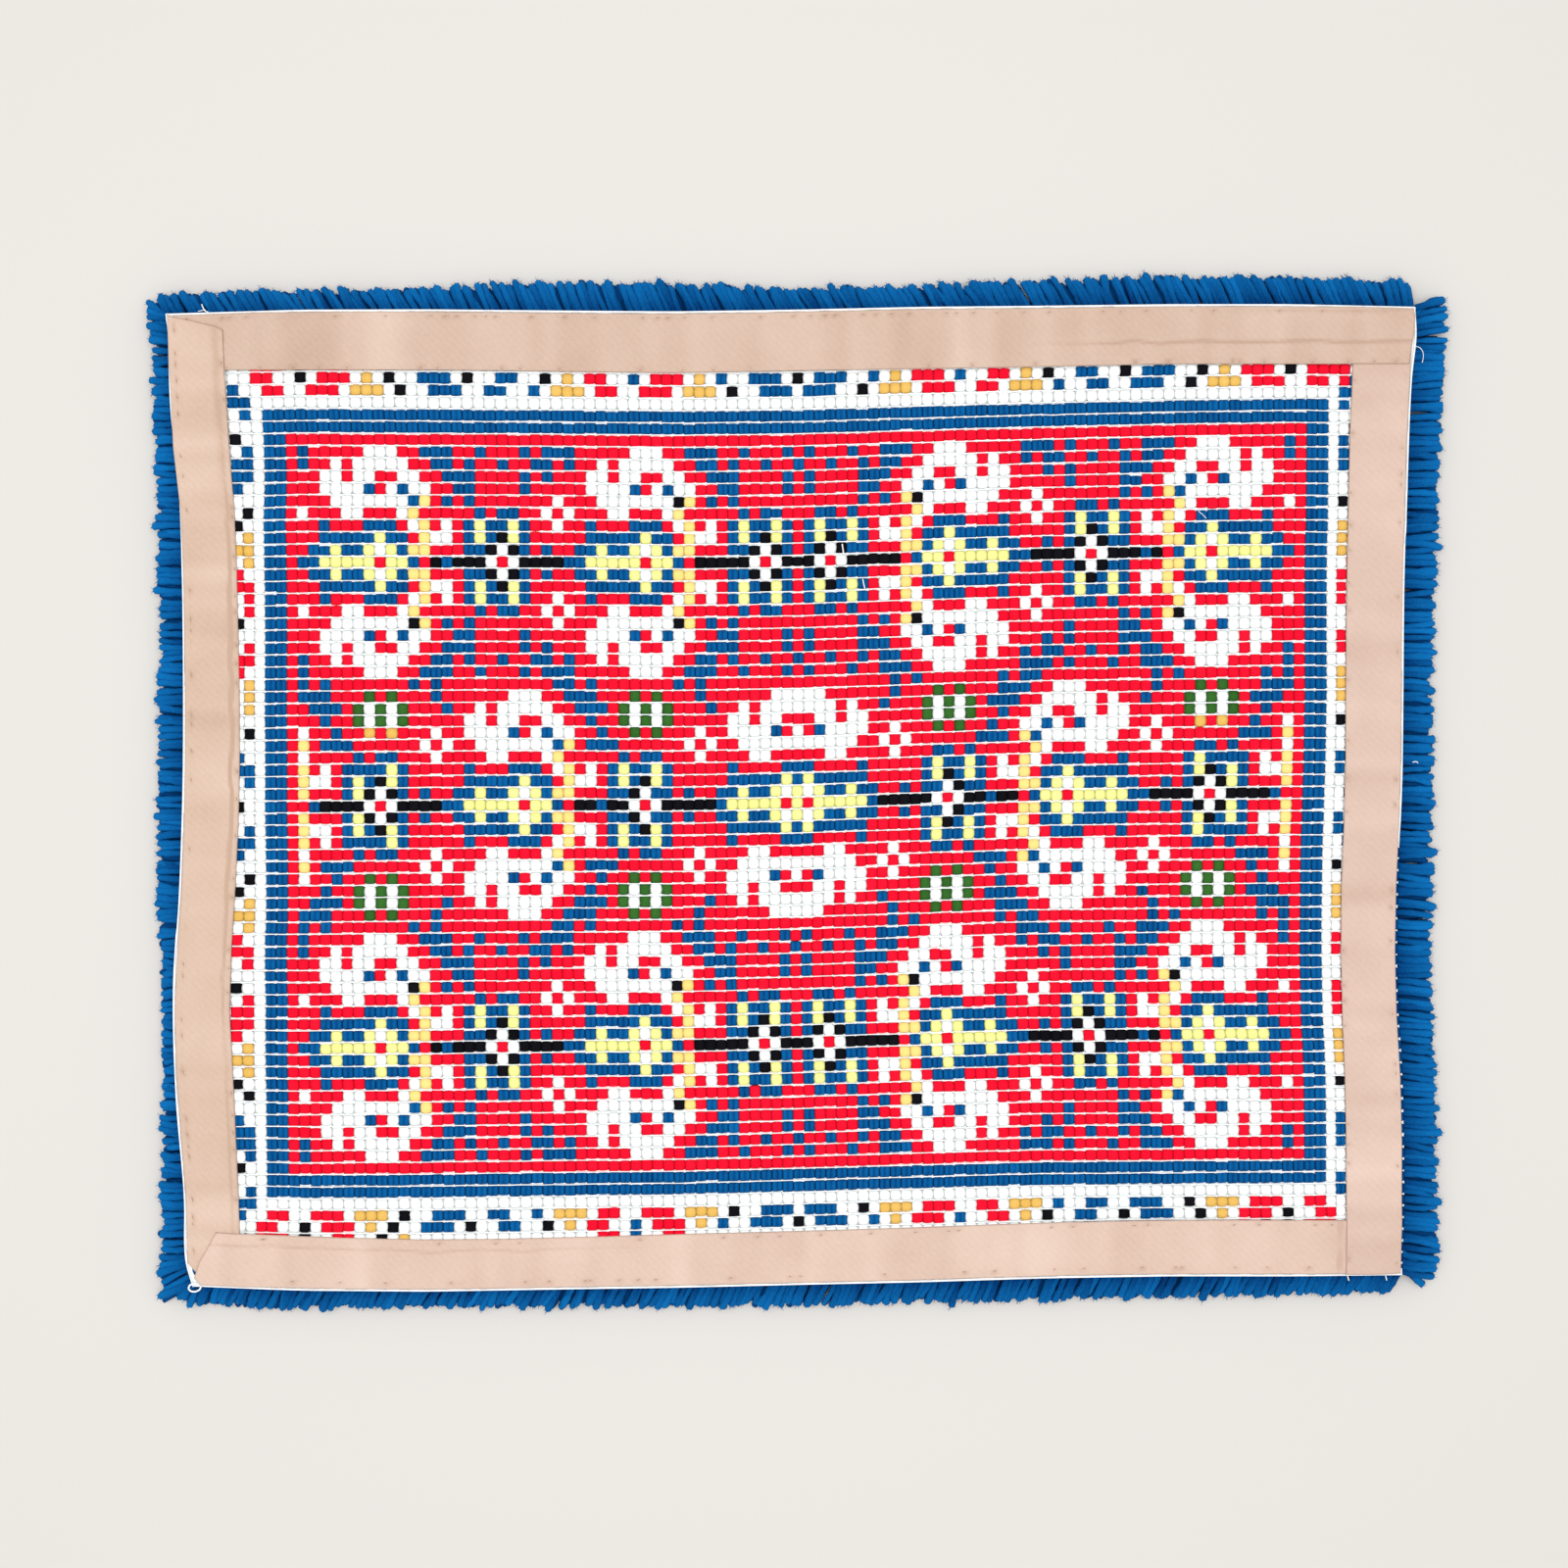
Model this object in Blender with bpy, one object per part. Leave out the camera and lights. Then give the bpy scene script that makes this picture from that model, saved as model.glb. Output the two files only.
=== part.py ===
"""Latch hook rug lying pile down: knotted canvas, cut pile and four sewn strips of binding tape.

The rug lies on z = 0 with its back up, its long side along X. Its centre on the floor is the origin.
"""
import random

import bmesh
import bpy
from mathutils import Matrix

MM = 0.001

# Heights above the floor, from the pile up
PILE_TOP = 14.0 * MM
CLEARANCE = 0.3 * MM
CANVAS_UNDER = PILE_TOP + CLEARANCE
RIB_VALLEY = CANVAS_UNDER + 2.0 * MM
RIB_CREST = CANVAS_UNDER + 3.0 * MM
TAPE_UNDER = RIB_CREST + CLEARANCE
TAPE_THICKNESS = 1.0 * MM
OVERLAP_LIFT = TAPE_THICKNESS + CLEARANCE

# Each side of the rug, station by station along it from the left or from the top: how far out
# from the middle its lines lie, in millimetres. The unevenness is that of the real hand-sewn edge.
STATION, EDGE, TAPE, TIPS = range(4)
SIDES = {
    # station, canvas edge, tape's inner edge, pile tips
    "top": (
        (0.00, 298.3, 262.9, 313.0),
        (0.07, 300.4, 263.0, 314.0),
        (0.20, 301.0, 263.0, 316.0),
        (0.30, 300.3, 262.3, 319.5),
        (0.40, 299.7, 261.2, 320.0),
        (0.50, 300.8, 262.4, 316.0),
        (0.60, 302.5, 263.7, 316.5),
        (0.70, 303.2, 264.9, 320.5),
        (0.80, 304.2, 266.6, 323.5),
        (0.93, 304.0, 266.6, 323.0),
        (1.00, 302.6, 266.6, 321.0),
    ),
    "bottom": (
        (0.00, 303.0, 268.0, 315.0),
        (0.07, 305.2, 270.8, 319.0),
        (0.20, 306.2, 273.6, 317.5),
        (0.30, 304.9, 272.3, 318.0),
        (0.40, 303.8, 270.2, 317.5),
        (0.50, 302.0, 268.3, 317.5),
        (0.60, 300.4, 266.0, 315.5),
        (0.70, 298.0, 263.2, 314.0),
        (0.80, 296.7, 261.5, 312.0),
        (0.93, 296.7, 261.5, 309.5),
        (1.00, 296.0, 261.3, 308.5),
    ),
    "left": (
        (0.00, 392.0, 356.0, 406.0),
        (0.06, 390.6, 354.7, 404.0),
        (0.13, 389.0, 352.3, 404.0),
        (0.21, 383.7, 348.5, 404.0),
        (0.30, 381.8, 346.8, 401.0),
        (0.40, 381.2, 345.6, 402.0),
        (0.50, 381.5, 345.8, 403.0),
        (0.60, 383.6, 348.5, 402.0),
        (0.70, 387.4, 351.8, 400.0),
        (0.80, 385.9, 349.1, 399.0),
        (0.90, 380.7, 346.4, 400.0),
        (0.97, 380.0, 344.8, 399.0),
        (1.00, 375.5, 344.6, 398.0),
    ),
    "right": (
        (0.00, 380.5, 341.4, 403.0),
        (0.03, 381.3, 341.2, 402.5),
        (0.07, 378.6, 341.0, 402.0),
        (0.13, 376.7, 339.4, 400.0),
        (0.21, 375.2, 338.5, 401.0),
        (0.30, 373.7, 337.4, 399.0),
        (0.40, 373.2, 336.9, 395.0),
        (0.50, 372.5, 336.5, 395.0),
        (0.60, 369.9, 334.2, 394.0),
        (0.70, 369.4, 334.2, 394.0),
        (0.80, 372.6, 336.4, 396.0),
        (0.90, 373.6, 337.3, 397.0),
        (1.00, 372.3, 336.8, 397.0),
    ),
}
OUTWARD = {"top": (0, 1), "bottom": (0, -1), "left": (-1, 0), "right": (1, 0)}

# Canvas
KNOT_ROWS = 81
CANVAS_PANELS = 10

# Pile: a lumpy slab, with one lock of yarn for about every two knots along the rim
SLAB_OVERHANG = 0.8 * MM
LUMPS_ACROSS = 15
LUMPS_DOWN = 11
LUMP_FIELD = 0.03
LUMP_SLOPE = 0.3
LUMP_VALLEY = 2.0 * MM
LUMP_WANDER = 6.0 * MM
LOCKS = {"top": 66, "right": 50, "bottom": 66, "left": 50}
LOCK_LEAN = {"top": -6.0 * MM, "right": -2.0 * MM, "bottom": -5.0 * MM, "left": 0.0}
LOCK_FAN = 34.0 * MM
LOCK_FAN_SHARE = 0.75
LOCK_RAGGED = 1.6 * MM
# share of the reach, share of the root's width, height of its top
LOCK_SECTIONS = (
    (0.50, 0.74, 9.0 * MM),
    (1.00, 0.46, 3.5 * MM),
)

# Tape: how it lies across its width from the outer edge, and what lifts its upper face
TAPE_INSET = 1.8 * MM
TAPE_PANELS = 14
# along the strip, in millimetres: the ramp onto a neighbour, and the end without relief
TAPE_RAMP = 8.0
TAPE_PLAIN_END = 45.0
# share of the width, rise of the upper face on a strip with a rolled inner hem, crease's depth
TAPE_SECTION = (
    (0.00, 0.0 * MM, 0.0 * MM),
    (0.12, 0.3 * MM, 0.0 * MM),
    (0.42, 0.0 * MM, 0.0 * MM),
    (0.66, 0.0 * MM, 0.4 * MM),
    (0.86, 0.5 * MM, 0.0 * MM),
    (1.00, 0.0 * MM, 0.0 * MM),
)


def smooth(table, column, station):
    """Reads a column of a side's table between its stations, along a Catmull-Rom curve, in metres."""
    last = len(table) - 1
    here = max(i for i in range(last) if table[i][STATION] <= max(station, 0.0))

    def slope(i):
        before = table[max(i - 1, 0)]
        after = table[min(i + 1, last)]
        return (after[column] - before[column]) / (after[STATION] - before[STATION])

    start = table[here]
    stop = table[here + 1]
    span = stop[STATION] - start[STATION]
    f = min((station - start[STATION]) / span, 1.0)
    value = (
        start[column] * (1 + 2 * f) * (1 - f) ** 2
        + stop[column] * f * f * (3 - 2 * f)
        + slope(here) * span * f * (1 - f) ** 2
        - slope(here + 1) * span * f * f * (1 - f)
    )
    return value * MM


def canvas_point(across, down, overhang=0.0):
    """Where a point of the cloth lies: across and down run from 0 to 1 over the knotted canvas."""
    left = -smooth(SIDES["left"], EDGE, down) - overhang
    right = smooth(SIDES["right"], EDGE, down) + overhang
    top = smooth(SIDES["top"], EDGE, across) + overhang
    bottom = -smooth(SIDES["bottom"], EDGE, across) - overhang
    return left + (right - left) * across, top + (bottom - top) * down


def new_piece(name, mesh_builder, colour, roughness):
    """Makes one named object from a closed bmesh, with its own material."""
    mesh = bpy.data.meshes.new(name)
    bmesh.ops.recalc_face_normals(mesh_builder, faces=mesh_builder.faces)
    mesh_builder.to_mesh(mesh)
    mesh_builder.free()
    piece = bpy.data.objects.new(name, mesh)
    bpy.context.scene.collection.objects.link(piece)
    material = bpy.data.materials.new(name)
    material.use_nodes = True
    shader = material.node_tree.nodes["Principled BSDF"]
    shader.inputs["Base Color"].default_value = (*colour, 1.0)
    shader.inputs["Roughness"].default_value = roughness
    shader.inputs["Metallic"].default_value = 0.0
    mesh.materials.append(material)
    return piece


def loft(builder, rows):
    """Joins rows of points, each as long as the next, with quads. Returns the rows of vertices."""
    grid = [[builder.verts.new(point) for point in row] for row in rows]
    for upper, lower in zip(grid, grid[1:]):
        for i in range(len(upper) - 1):
            builder.faces.new((upper[i], upper[i + 1], lower[i + 1], lower[i]))
    return grid


def rim_of(grid):
    """The outer ring of a grid of vertices, once round."""
    down_right = [row[-1] for row in grid[1:-1]]
    up_left = [row[0] for row in reversed(grid[1:-1])]
    return grid[0] + down_right + list(reversed(grid[-1])) + up_left


def close_rims(builder, upper, lower):
    """Joins two rings of as many vertices with a wall."""
    for i in range(len(upper)):
        after = (i + 1) % len(upper)
        builder.faces.new((upper[i], upper[after], lower[after], lower[i]))


def build_canvas():
    """The canvas under its rows of knots: each row is a low rib across the whole rug."""
    builder = bmesh.new()
    rows = []
    for line in range(2 * KNOT_ROWS + 1):
        height = RIB_CREST if line % 2 else RIB_VALLEY
        row = []
        for panel in range(CANVAS_PANELS + 1):
            x, y = canvas_point(panel / CANVAS_PANELS, line / (2 * KNOT_ROWS))
            row.append((x, y, height))
        rows.append(row)
    upper = rim_of(loft(builder, rows))
    lower = [builder.verts.new((v.co.x, v.co.y, CANVAS_UNDER)) for v in upper]
    close_rims(builder, upper, lower)
    builder.faces.new(lower)
    return new_piece("canvas", builder, (0.80, 0.03, 0.06), 0.9)


def slab_ring():
    """The rim of the pile's slab, clockwise from the top left, one step for each lock of yarn."""
    steps = []
    for side, count in LOCKS.items():
        for i in range(count):
            f = i / count
            place = {"top": (f, 0), "right": (1, f), "bottom": (1 - f, 1), "left": (0, 1 - f)}[side]
            steps.append((side, canvas_point(*place, SLAB_OVERHANG)))
    return steps


def lock_tip(side, root, ragged):
    """How far a lock reaches out and along its side, from the middle of its root."""
    x, y = root
    outward = OUTWARD[side]
    flat = side in ("top", "bottom")
    ends = ("left", "right") if flat else ("top", "bottom")
    length_before = smooth(SIDES[ends[0]], EDGE, 0.5)
    length_after = smooth(SIDES[ends[1]], EDGE, 0.5)
    travelled = (x + length_before) if flat else (length_before - y)
    whole = length_before + length_after
    station = min(max(travelled / whole, 0.0), 1.0)
    reach = smooth(SIDES[side], TIPS, station) - abs(y if flat else x) + ragged
    to_end = min(travelled, whole - travelled)
    fan = max(1 - to_end / LOCK_FAN, 0.0) * LOCK_FAN_SHARE * reach
    towards_end = 1 if travelled > whole / 2 else -1
    if flat:
        along = (LOCK_LEAN[side] * (1 - fan / reach) + fan * towards_end, 0)
    else:
        along = (0, LOCK_LEAN[side] * (1 - fan / reach) - fan * towards_end)
    return outward[0] * reach + along[0], outward[1] * reach + along[1]


def grow_lock(builder, wall_face, side, ragged):
    """Pulls a lock of yarn out of its quad of the slab's wall, thinner and lower to its tip."""
    low = min(v.co.z for v in wall_face.verts)
    roots = [v.co.copy() for v in wall_face.verts]
    middle = sum((v.co for v in wall_face.verts[1:]), wall_face.verts[0].co.copy()) / 4
    tip_x, tip_y = lock_tip(side, (middle.x, middle.y), ragged)
    face = wall_face
    for share, width, top in LOCK_SECTIONS:
        face = bmesh.ops.extrude_discrete_faces(builder, faces=[face])["faces"][0]
        for vertex, root in zip(face.verts, roots):
            vertex.co.x = middle.x + (root.x - middle.x) * width + tip_x * share
            vertex.co.y = middle.y + (root.y - middle.y) * width + tip_y * share
            vertex.co.z = low if root.z < PILE_TOP / 2 else top


def lump_field(builder, rows):
    """The underside of the slab: a net of valleys, with a flat-bottomed lump in each mesh of it."""
    grid = [[builder.verts.new(point) for point in row] for row in rows]
    for upper, lower in zip(grid, grid[1:]):
        for i in range(len(upper) - 1):
            corners = (upper[i], upper[i + 1], lower[i + 1], lower[i])
            middle = sum((v.co for v in corners[1:]), corners[0].co.copy()) / 4
            foot = []
            for corner in corners:
                x, y = (corner.co + (middle - corner.co) * LUMP_SLOPE).xy
                foot.append(builder.verts.new((x, y, 0.0)))
            builder.faces.new(foot)
            for k in range(4):
                turn = (k + 1) % 4
                builder.faces.new((corners[k], corners[turn], foot[turn], foot[k]))
    return grid


def places_round(counts):
    """Where the points of a rim lie round it, one unit a side, and the first point again at the end."""
    places = [side + i / count for side, count in enumerate(counts) for i in range(count)]
    return places + [float(len(counts))]


def close_band(builder, outer_places, outer, inner_places, inner):
    """Fills the flat band between two rims with triangles, going round both together."""
    outer = outer + outer[:1]
    inner = inner + inner[:1]
    i = j = 0
    while i + j < len(outer) + len(inner) - 2:
        inner_done = j == len(inner) - 1
        if inner_done or (i < len(outer) - 1 and outer_places[i + 1] <= inner_places[j + 1]):
            builder.faces.new((outer[i], outer[i + 1], inner[j]))
            i += 1
        else:
            builder.faces.new((outer[i], inner[j + 1], inner[j]))
            j += 1


def build_pile():
    """The cut pile under the canvas: a slab, lumpy beneath, with locks of yarn round its rim."""
    chance = random.Random(7)
    builder = bmesh.new()
    ring = slab_ring()
    upper = [builder.verts.new((*point, PILE_TOP)) for side, point in ring]
    lower = [builder.verts.new((*point, 0.0)) for side, point in ring]
    builder.faces.new(upper)
    walls = []
    for i, (side, point) in enumerate(ring):
        after = (i + 1) % len(ring)
        wall = builder.faces.new((upper[i], lower[i], lower[after], upper[after]))
        walls.append((wall, side))

    rows = []
    for down in range(LUMPS_DOWN + 1):
        row = []
        for across in range(LUMPS_ACROSS + 1):
            inside = 1 - 2 * LUMP_FIELD
            x, y = canvas_point(
                LUMP_FIELD + inside * across / LUMPS_ACROSS,
                LUMP_FIELD + inside * down / LUMPS_DOWN,
            )
            edge = across in (0, LUMPS_ACROSS) or down in (0, LUMPS_DOWN)
            wander = 0.0 if edge else LUMP_WANDER
            row.append((
                x + chance.uniform(-wander, wander),
                y + chance.uniform(-wander, wander),
                0.0 if edge else LUMP_VALLEY,
            ))
        rows.append(row)
    field_rim = rim_of(lump_field(builder, rows))
    close_band(builder, places_round(LOCKS.values()), lower, places_round(
        (LUMPS_ACROSS, LUMPS_DOWN, LUMPS_ACROSS, LUMPS_DOWN)
    ), field_rim)

    for wall, side in walls:
        grow_lock(builder, wall, side, chance.uniform(-LOCK_RAGGED, LOCK_RAGGED))
    return new_piece("pile", builder, (0.02, 0.14, 0.42), 0.95)


def build_tape(side, first_end, last_end, lifted_from, hem=0.0, crease_from=None):
    """One strip of tape, from its first end to its last, which lies on its neighbour.

    Each end is one place along the side for each point of the strip's section, in millimetres.
    lifted_from is where the strip clears its neighbour's inner edge, hem is how far its own inner
    hem is rolled, and crease_from is the place where its lengthwise crease begins.
    """
    flat = side in ("top", "bottom")
    sign = sum(OUTWARD[side])
    crossing = ("left", "right") if flat else ("top", "bottom")
    corner = 0.0 if side in ("top", "left") else 1.0
    before = smooth(SIDES[crossing[0]], EDGE, corner) / MM
    after = smooth(SIDES[crossing[1]], EDGE, corner) / MM
    step = 1 if flat else -1
    heading = 1 if last_end[0] > first_end[0] else -1
    ramp_foot = lifted_from - heading * TAPE_RAMP

    def point(places, i, top):
        """A corner of the strip, at its section's point i and that point's place along the side."""
        share, rise, fold = TAPE_SECTION[i]
        along = places[i]
        station = min(max((before + step * along) / (before + after), 0.0), 1.0)
        outer = smooth(SIDES[side], EDGE, station) - TAPE_INSET
        inner = smooth(SIDES[side], TAPE, station)
        off = sign * (outer + (inner - outer) * share)
        lift = min(max(heading * (along - ramp_foot) / TAPE_RAMP, 0.0), 1.0)
        height = TAPE_UNDER + lift * OVERLAP_LIFT
        if top:
            from_end = min(abs(along - first_end[i]), abs(along - last_end[i]))
            fade = min(max(from_end / TAPE_PLAIN_END - 1, 0.0), 1.0)
            height += TAPE_THICKNESS + rise * hem * fade
            if crease_from is not None:
                height -= fold * min(max(heading * (along - crease_from) / TAPE_PLAIN_END, 0.0), 1.0)
        return (along * MM, off, height) if flat else (off, along * MM, height)

    panels = [
        first_end[0] + (ramp_foot - first_end[0]) * i / TAPE_PANELS for i in range(1, TAPE_PANELS)
    ]
    level = [[place] * len(TAPE_SECTION) for place in panels + [ramp_foot, lifted_from]]
    stations = [first_end] + level + [last_end]
    builder = bmesh.new()
    points = range(len(TAPE_SECTION))
    upper_rim = rim_of(loft(builder, [[point(s, i, True) for i in points] for s in stations]))
    lower_rim = rim_of(loft(builder, [[point(s, i, False) for i in points] for s in stations]))
    close_rims(builder, upper_rim, lower_rim)
    return new_piece("binding_" + side, builder, (0.76, 0.55, 0.41), 0.85)


def build_bindings():
    """The four strips, each with one end lying over its neighbour, round the rug like a pinwheel."""
    across = len(TAPE_SECTION)
    return [
        build_tape(
            "top",
            first_end=[-387.0] * across,
            last_end=[378.5, 379.5, 379.0, 377.5, 376.5, 376.0],
            lifted_from=340.0,
            crease_from=200.0,
        ),
        build_tape(
            "right",
            first_end=[298.0] * across,
            last_end=[-294.0, -294.5, -295.0, -295.0, -295.0, -295.0],
            lifted_from=-260.5,
        ),
        build_tape(
            "bottom",
            first_end=[368.0] * across,
            last_end=[-369.0, -373.5, -370.5, -366.0, -362.5, -360.0],
            lifted_from=-343.0,
            hem=0.6,
        ),
        build_tape(
            "left",
            first_end=[-288.0, -294.0, -298.0, -300.0, -300.0, -300.0],
            last_end=[297.0, 295.5, 293.5, 291.5, 290.0, 287.5],
            lifted_from=262.0,
            hem=1.0,
        ),
    ]


def centre_on_floor(pieces):
    """Moves every piece together, so that the rug's box stands centred on the origin."""
    corners = [piece.matrix_world @ v.co for piece in pieces for v in piece.data.vertices]
    shift_x = (max(c.x for c in corners) + min(c.x for c in corners)) / 2
    shift_y = (max(c.y for c in corners) + min(c.y for c in corners)) / 2
    shift_z = min(c.z for c in corners)
    for piece in pieces:
        piece.data.transform(Matrix.Translation((-shift_x, -shift_y, -shift_z)))


def main():
    for leftover in list(bpy.data.objects):
        bpy.data.objects.remove(leftover, do_unlink=True)
    pieces = [build_canvas(), build_pile()] + build_bindings()
    centre_on_floor(pieces)


main()
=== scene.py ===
# %% [markdown]
# # A latch hook rug, lying on its face
#
# The rug shows its back: rows of wool knots on a stiff cotton canvas, four strips of cotton tape
# sewn round the edge, and a fringe where the cut pile sticks out from under the canvas.
# The CAD model gives the true places of all of it. This script adds what makes it look real, which
# is mostly many small forms in rows. Such forms are best made as arrays of numbers, because
# Blender's own tools would need minutes for the thousands of knots and tufts.

import math

import bpy
import numpy as np
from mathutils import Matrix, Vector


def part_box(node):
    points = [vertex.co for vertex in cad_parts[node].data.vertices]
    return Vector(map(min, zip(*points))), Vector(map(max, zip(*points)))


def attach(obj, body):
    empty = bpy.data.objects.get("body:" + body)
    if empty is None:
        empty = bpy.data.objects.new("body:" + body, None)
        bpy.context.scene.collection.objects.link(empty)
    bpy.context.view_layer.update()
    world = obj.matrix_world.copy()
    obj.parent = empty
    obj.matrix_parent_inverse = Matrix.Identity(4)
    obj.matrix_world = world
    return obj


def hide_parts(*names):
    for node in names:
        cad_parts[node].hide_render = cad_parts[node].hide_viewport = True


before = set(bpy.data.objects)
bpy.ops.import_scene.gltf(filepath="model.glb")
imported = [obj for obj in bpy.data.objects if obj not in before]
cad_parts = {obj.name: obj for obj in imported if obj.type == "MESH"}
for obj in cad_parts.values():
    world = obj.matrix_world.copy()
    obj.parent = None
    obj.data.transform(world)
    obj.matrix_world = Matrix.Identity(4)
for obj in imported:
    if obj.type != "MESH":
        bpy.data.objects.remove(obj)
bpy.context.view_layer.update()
MM = 0.001
chance = np.random.default_rng(11)
print("nodes:", sorted(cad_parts))

# %% [markdown]
# ## The camera
#
# The real rug was seen from straight above, so the camera looks down and the top of the picture
# is +Y. A longer lens from further away would flatten the side of the pile still more. This one
# stands at arm's length above the rug, as a person who holds a camera over it would.

# %% Camera straight above
CANVAS_LEFT_REACH = 392.0 * MM
CANVAS_TOP_REACH = 304.2 * MM
CAMERA_SIDEWAYS = -9.7 * MM
CAMERA_UPWARDS = 7.6 * MM
CAMERA_HEIGHT = 1210.0 * MM
CAMERA_LENS = 45.0
SENSOR_WIDTH = 36.0

canvas_low, canvas_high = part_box("canvas")
middle_x = canvas_low[0] + CANVAS_LEFT_REACH
middle_y = canvas_high[1] - CANVAS_TOP_REACH

camera_data = bpy.data.cameras.new("overhead_camera")
camera_data.lens = CAMERA_LENS
camera_data.sensor_width = SENSOR_WIDTH
camera = bpy.data.objects.new("overhead_camera", camera_data)
camera.location = (
    middle_x + CAMERA_SIDEWAYS,
    middle_y + CAMERA_UPWARDS,
    canvas_high[2] + CAMERA_HEIGHT,
)
bpy.context.scene.collection.objects.link(camera)
bpy.context.scene.camera = camera
print("camera at", tuple(round(v, 4) for v in camera.location))

# %% [markdown]
# ## Colours and nodes
#
# A dyer names colours as they look on the screen, in sRGB. Blender's sockets hold linear light,
# so one function turns the one to the other. Another one adds a node, sets its properties and
# fills its sockets, which keeps each material short enough to read as a recipe.

# %% Helpers for colours and nodes
SRGB_KNEE = 0.04045


def linear(hex_colour):
    """Turns an sRGB colour such as #F0182A to the linear values of a colour socket."""
    channels = [int(hex_colour[i:i + 2], 16) / 255 for i in (1, 3, 5)]
    bent = [c / 12.92 if c <= SRGB_KNEE else ((c + 0.055) / 1.055) ** 2.4 for c in channels]
    return (*bent, 1.0)


def add_node(tree, kind, sockets=None, **settings):
    """Adds a node. Each of its sockets gets a plain value or a link from another node's output."""
    node = tree.nodes.new(kind)
    for name, value in settings.items():
        setattr(node, name, value)
    for socket, value in (sockets or {}).items():
        if isinstance(value, bpy.types.NodeSocket):
            tree.links.new(value, node.inputs[socket])
        else:
            node.inputs[socket].default_value = value
    return node


def new_material(name, roughness, specular=0.2, sheen=0.0):
    """A material with its shader set. Returns the material, its node tree and the shader."""
    material = bpy.data.materials.new(name)
    material.use_nodes = True
    tree = material.node_tree
    shader = tree.nodes["Principled BSDF"]
    shader.inputs["Roughness"].default_value = roughness
    shader.inputs["Specular IOR Level"].default_value = specular
    shader.inputs["Sheen Weight"].default_value = sheen
    return material, tree, shader


MIX_FACTOR, MIX_FIRST, MIX_SECOND, MIX_RESULT = 0, 6, 7, 2
print("red wool in linear light:", [round(v, 3) for v in linear("#F0182A")])

# %% [markdown]
# ## Dyed wool
#
# Rug wool is a soft spun yarn. It has no gloss to speak of, and its fibres make fine streaks along
# the yarn, lighter where they catch the light. Each knot also took the dye a little differently.
# The material reads that from a number called tone on the mesh, which carries painted shade too:
# darker in the folds between knots, at their rounded ends and on the outermost knots by the fringe.
# The streaks are noise that is stretched along the yarn, from the real width of a strand of fibres.

# %% Wool yarn, spun and dyed
FIBRE_WIDTH = 0.45 * MM
FIBRE_LENGTH = 2.6 * MM
BUMP_DISTANCE = 0.25 * MM


def dyed_wool(name, light, dark, along=1, streak=0.9, mottle_and_shade=0.5):
    """Spun wool in one dye lot. along is the axis that its fibres follow."""
    material, tree, shader = new_material(name, roughness=0.95, specular=0.05)
    place = add_node(tree, "ShaderNodeTexCoord")
    stretch = [1 / FIBRE_WIDTH] * 3
    stretch[along] = 1 / FIBRE_LENGTH
    laid = add_node(tree, "ShaderNodeMapping", {"Vector": place.outputs["Object"], "Scale": stretch})
    fibres = add_node(tree, "ShaderNodeTexNoise", {
        "Vector": laid.outputs[0], "Scale": 1.0, "Detail": 3.0, "Roughness": 0.6,
    })
    tone = add_node(tree, "ShaderNodeAttribute", attribute_name="tone")
    streaks = add_node(tree, "ShaderNodeMath", {
        0: fibres.outputs["Fac"], 1: streak, 2: 0.5 - streak / 2,
    }, operation="MULTIPLY_ADD")
    # tone holds random dye differences and painted shade, and shifts the colour between the dark and the
    # light end
    blend = add_node(tree, "ShaderNodeMath", {
        0: tone.outputs["Fac"], 1: mottle_and_shade, 2: streaks.outputs[0],
    }, operation="MULTIPLY_ADD", use_clamp=True)
    dyed = add_node(tree, "ShaderNodeMix", {
        MIX_FACTOR: blend.outputs[0], MIX_FIRST: linear(dark), MIX_SECOND: linear(light),
    }, data_type="RGBA")
    relief = add_node(tree, "ShaderNodeBump", {
        "Strength": 0.45, "Distance": BUMP_DISTANCE, "Height": fibres.outputs["Fac"],
    })
    tree.links.new(dyed.outputs[MIX_RESULT], shader.inputs["Base Color"])
    tree.links.new(relief.outputs[0], shader.inputs["Normal"])
    return material


# letter on the chart: name, light and dark of the dye lot; the dark end is also the colour of the
# painted shade in the knots' folds and at their ends
YARNS = {
    "R": ("red", "#FF1A36", "#E60020"),
    "B": ("blue", "#0A66A8", "#002C60"),
    "W": ("white", "#FFFFFF", "#E6EDEA"),
    "C": ("cream", "#F7F5A2", "#E6E57C"),
    "Y": ("straw", "#FFE391", "#F2CB66"),
    "A": ("gold", "#EDC26B", "#CF9C3A"),
    "G": ("green", "#3B7030", "#1F4A14"),
    "K": ("black", "#14141A", "#030305"),
}
knot_wool = {
    letter: dyed_wool("knot_wool_" + name, light, dark)
    for letter, (name, light, dark) in YARNS.items()
}
print(len(knot_wool), "dye lots")

# %% [markdown]
# ## Meshes from arrays
#
# A knot, a tuft and a stitch are each one small form that repeats thousands of times. The form is
# worked out once, and NumPy moves all the copies to their places together. Every mesh is closed,
# so the script measures its volume and turns the faces round if they look inwards.

# %% Helpers that turn arrays into pieces
def signed_volume(points, faces):
    """Six times the volume inside the faces, negative where they are turned inside out."""
    total = 0.0
    for group in faces:
        first = points[group[:, 0]]
        for k in range(1, group.shape[1] - 1):
            total += np.einsum("ij,ij->", first, np.cross(points[group[:, k]], points[group[:, k + 1]]))
    return total


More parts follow.
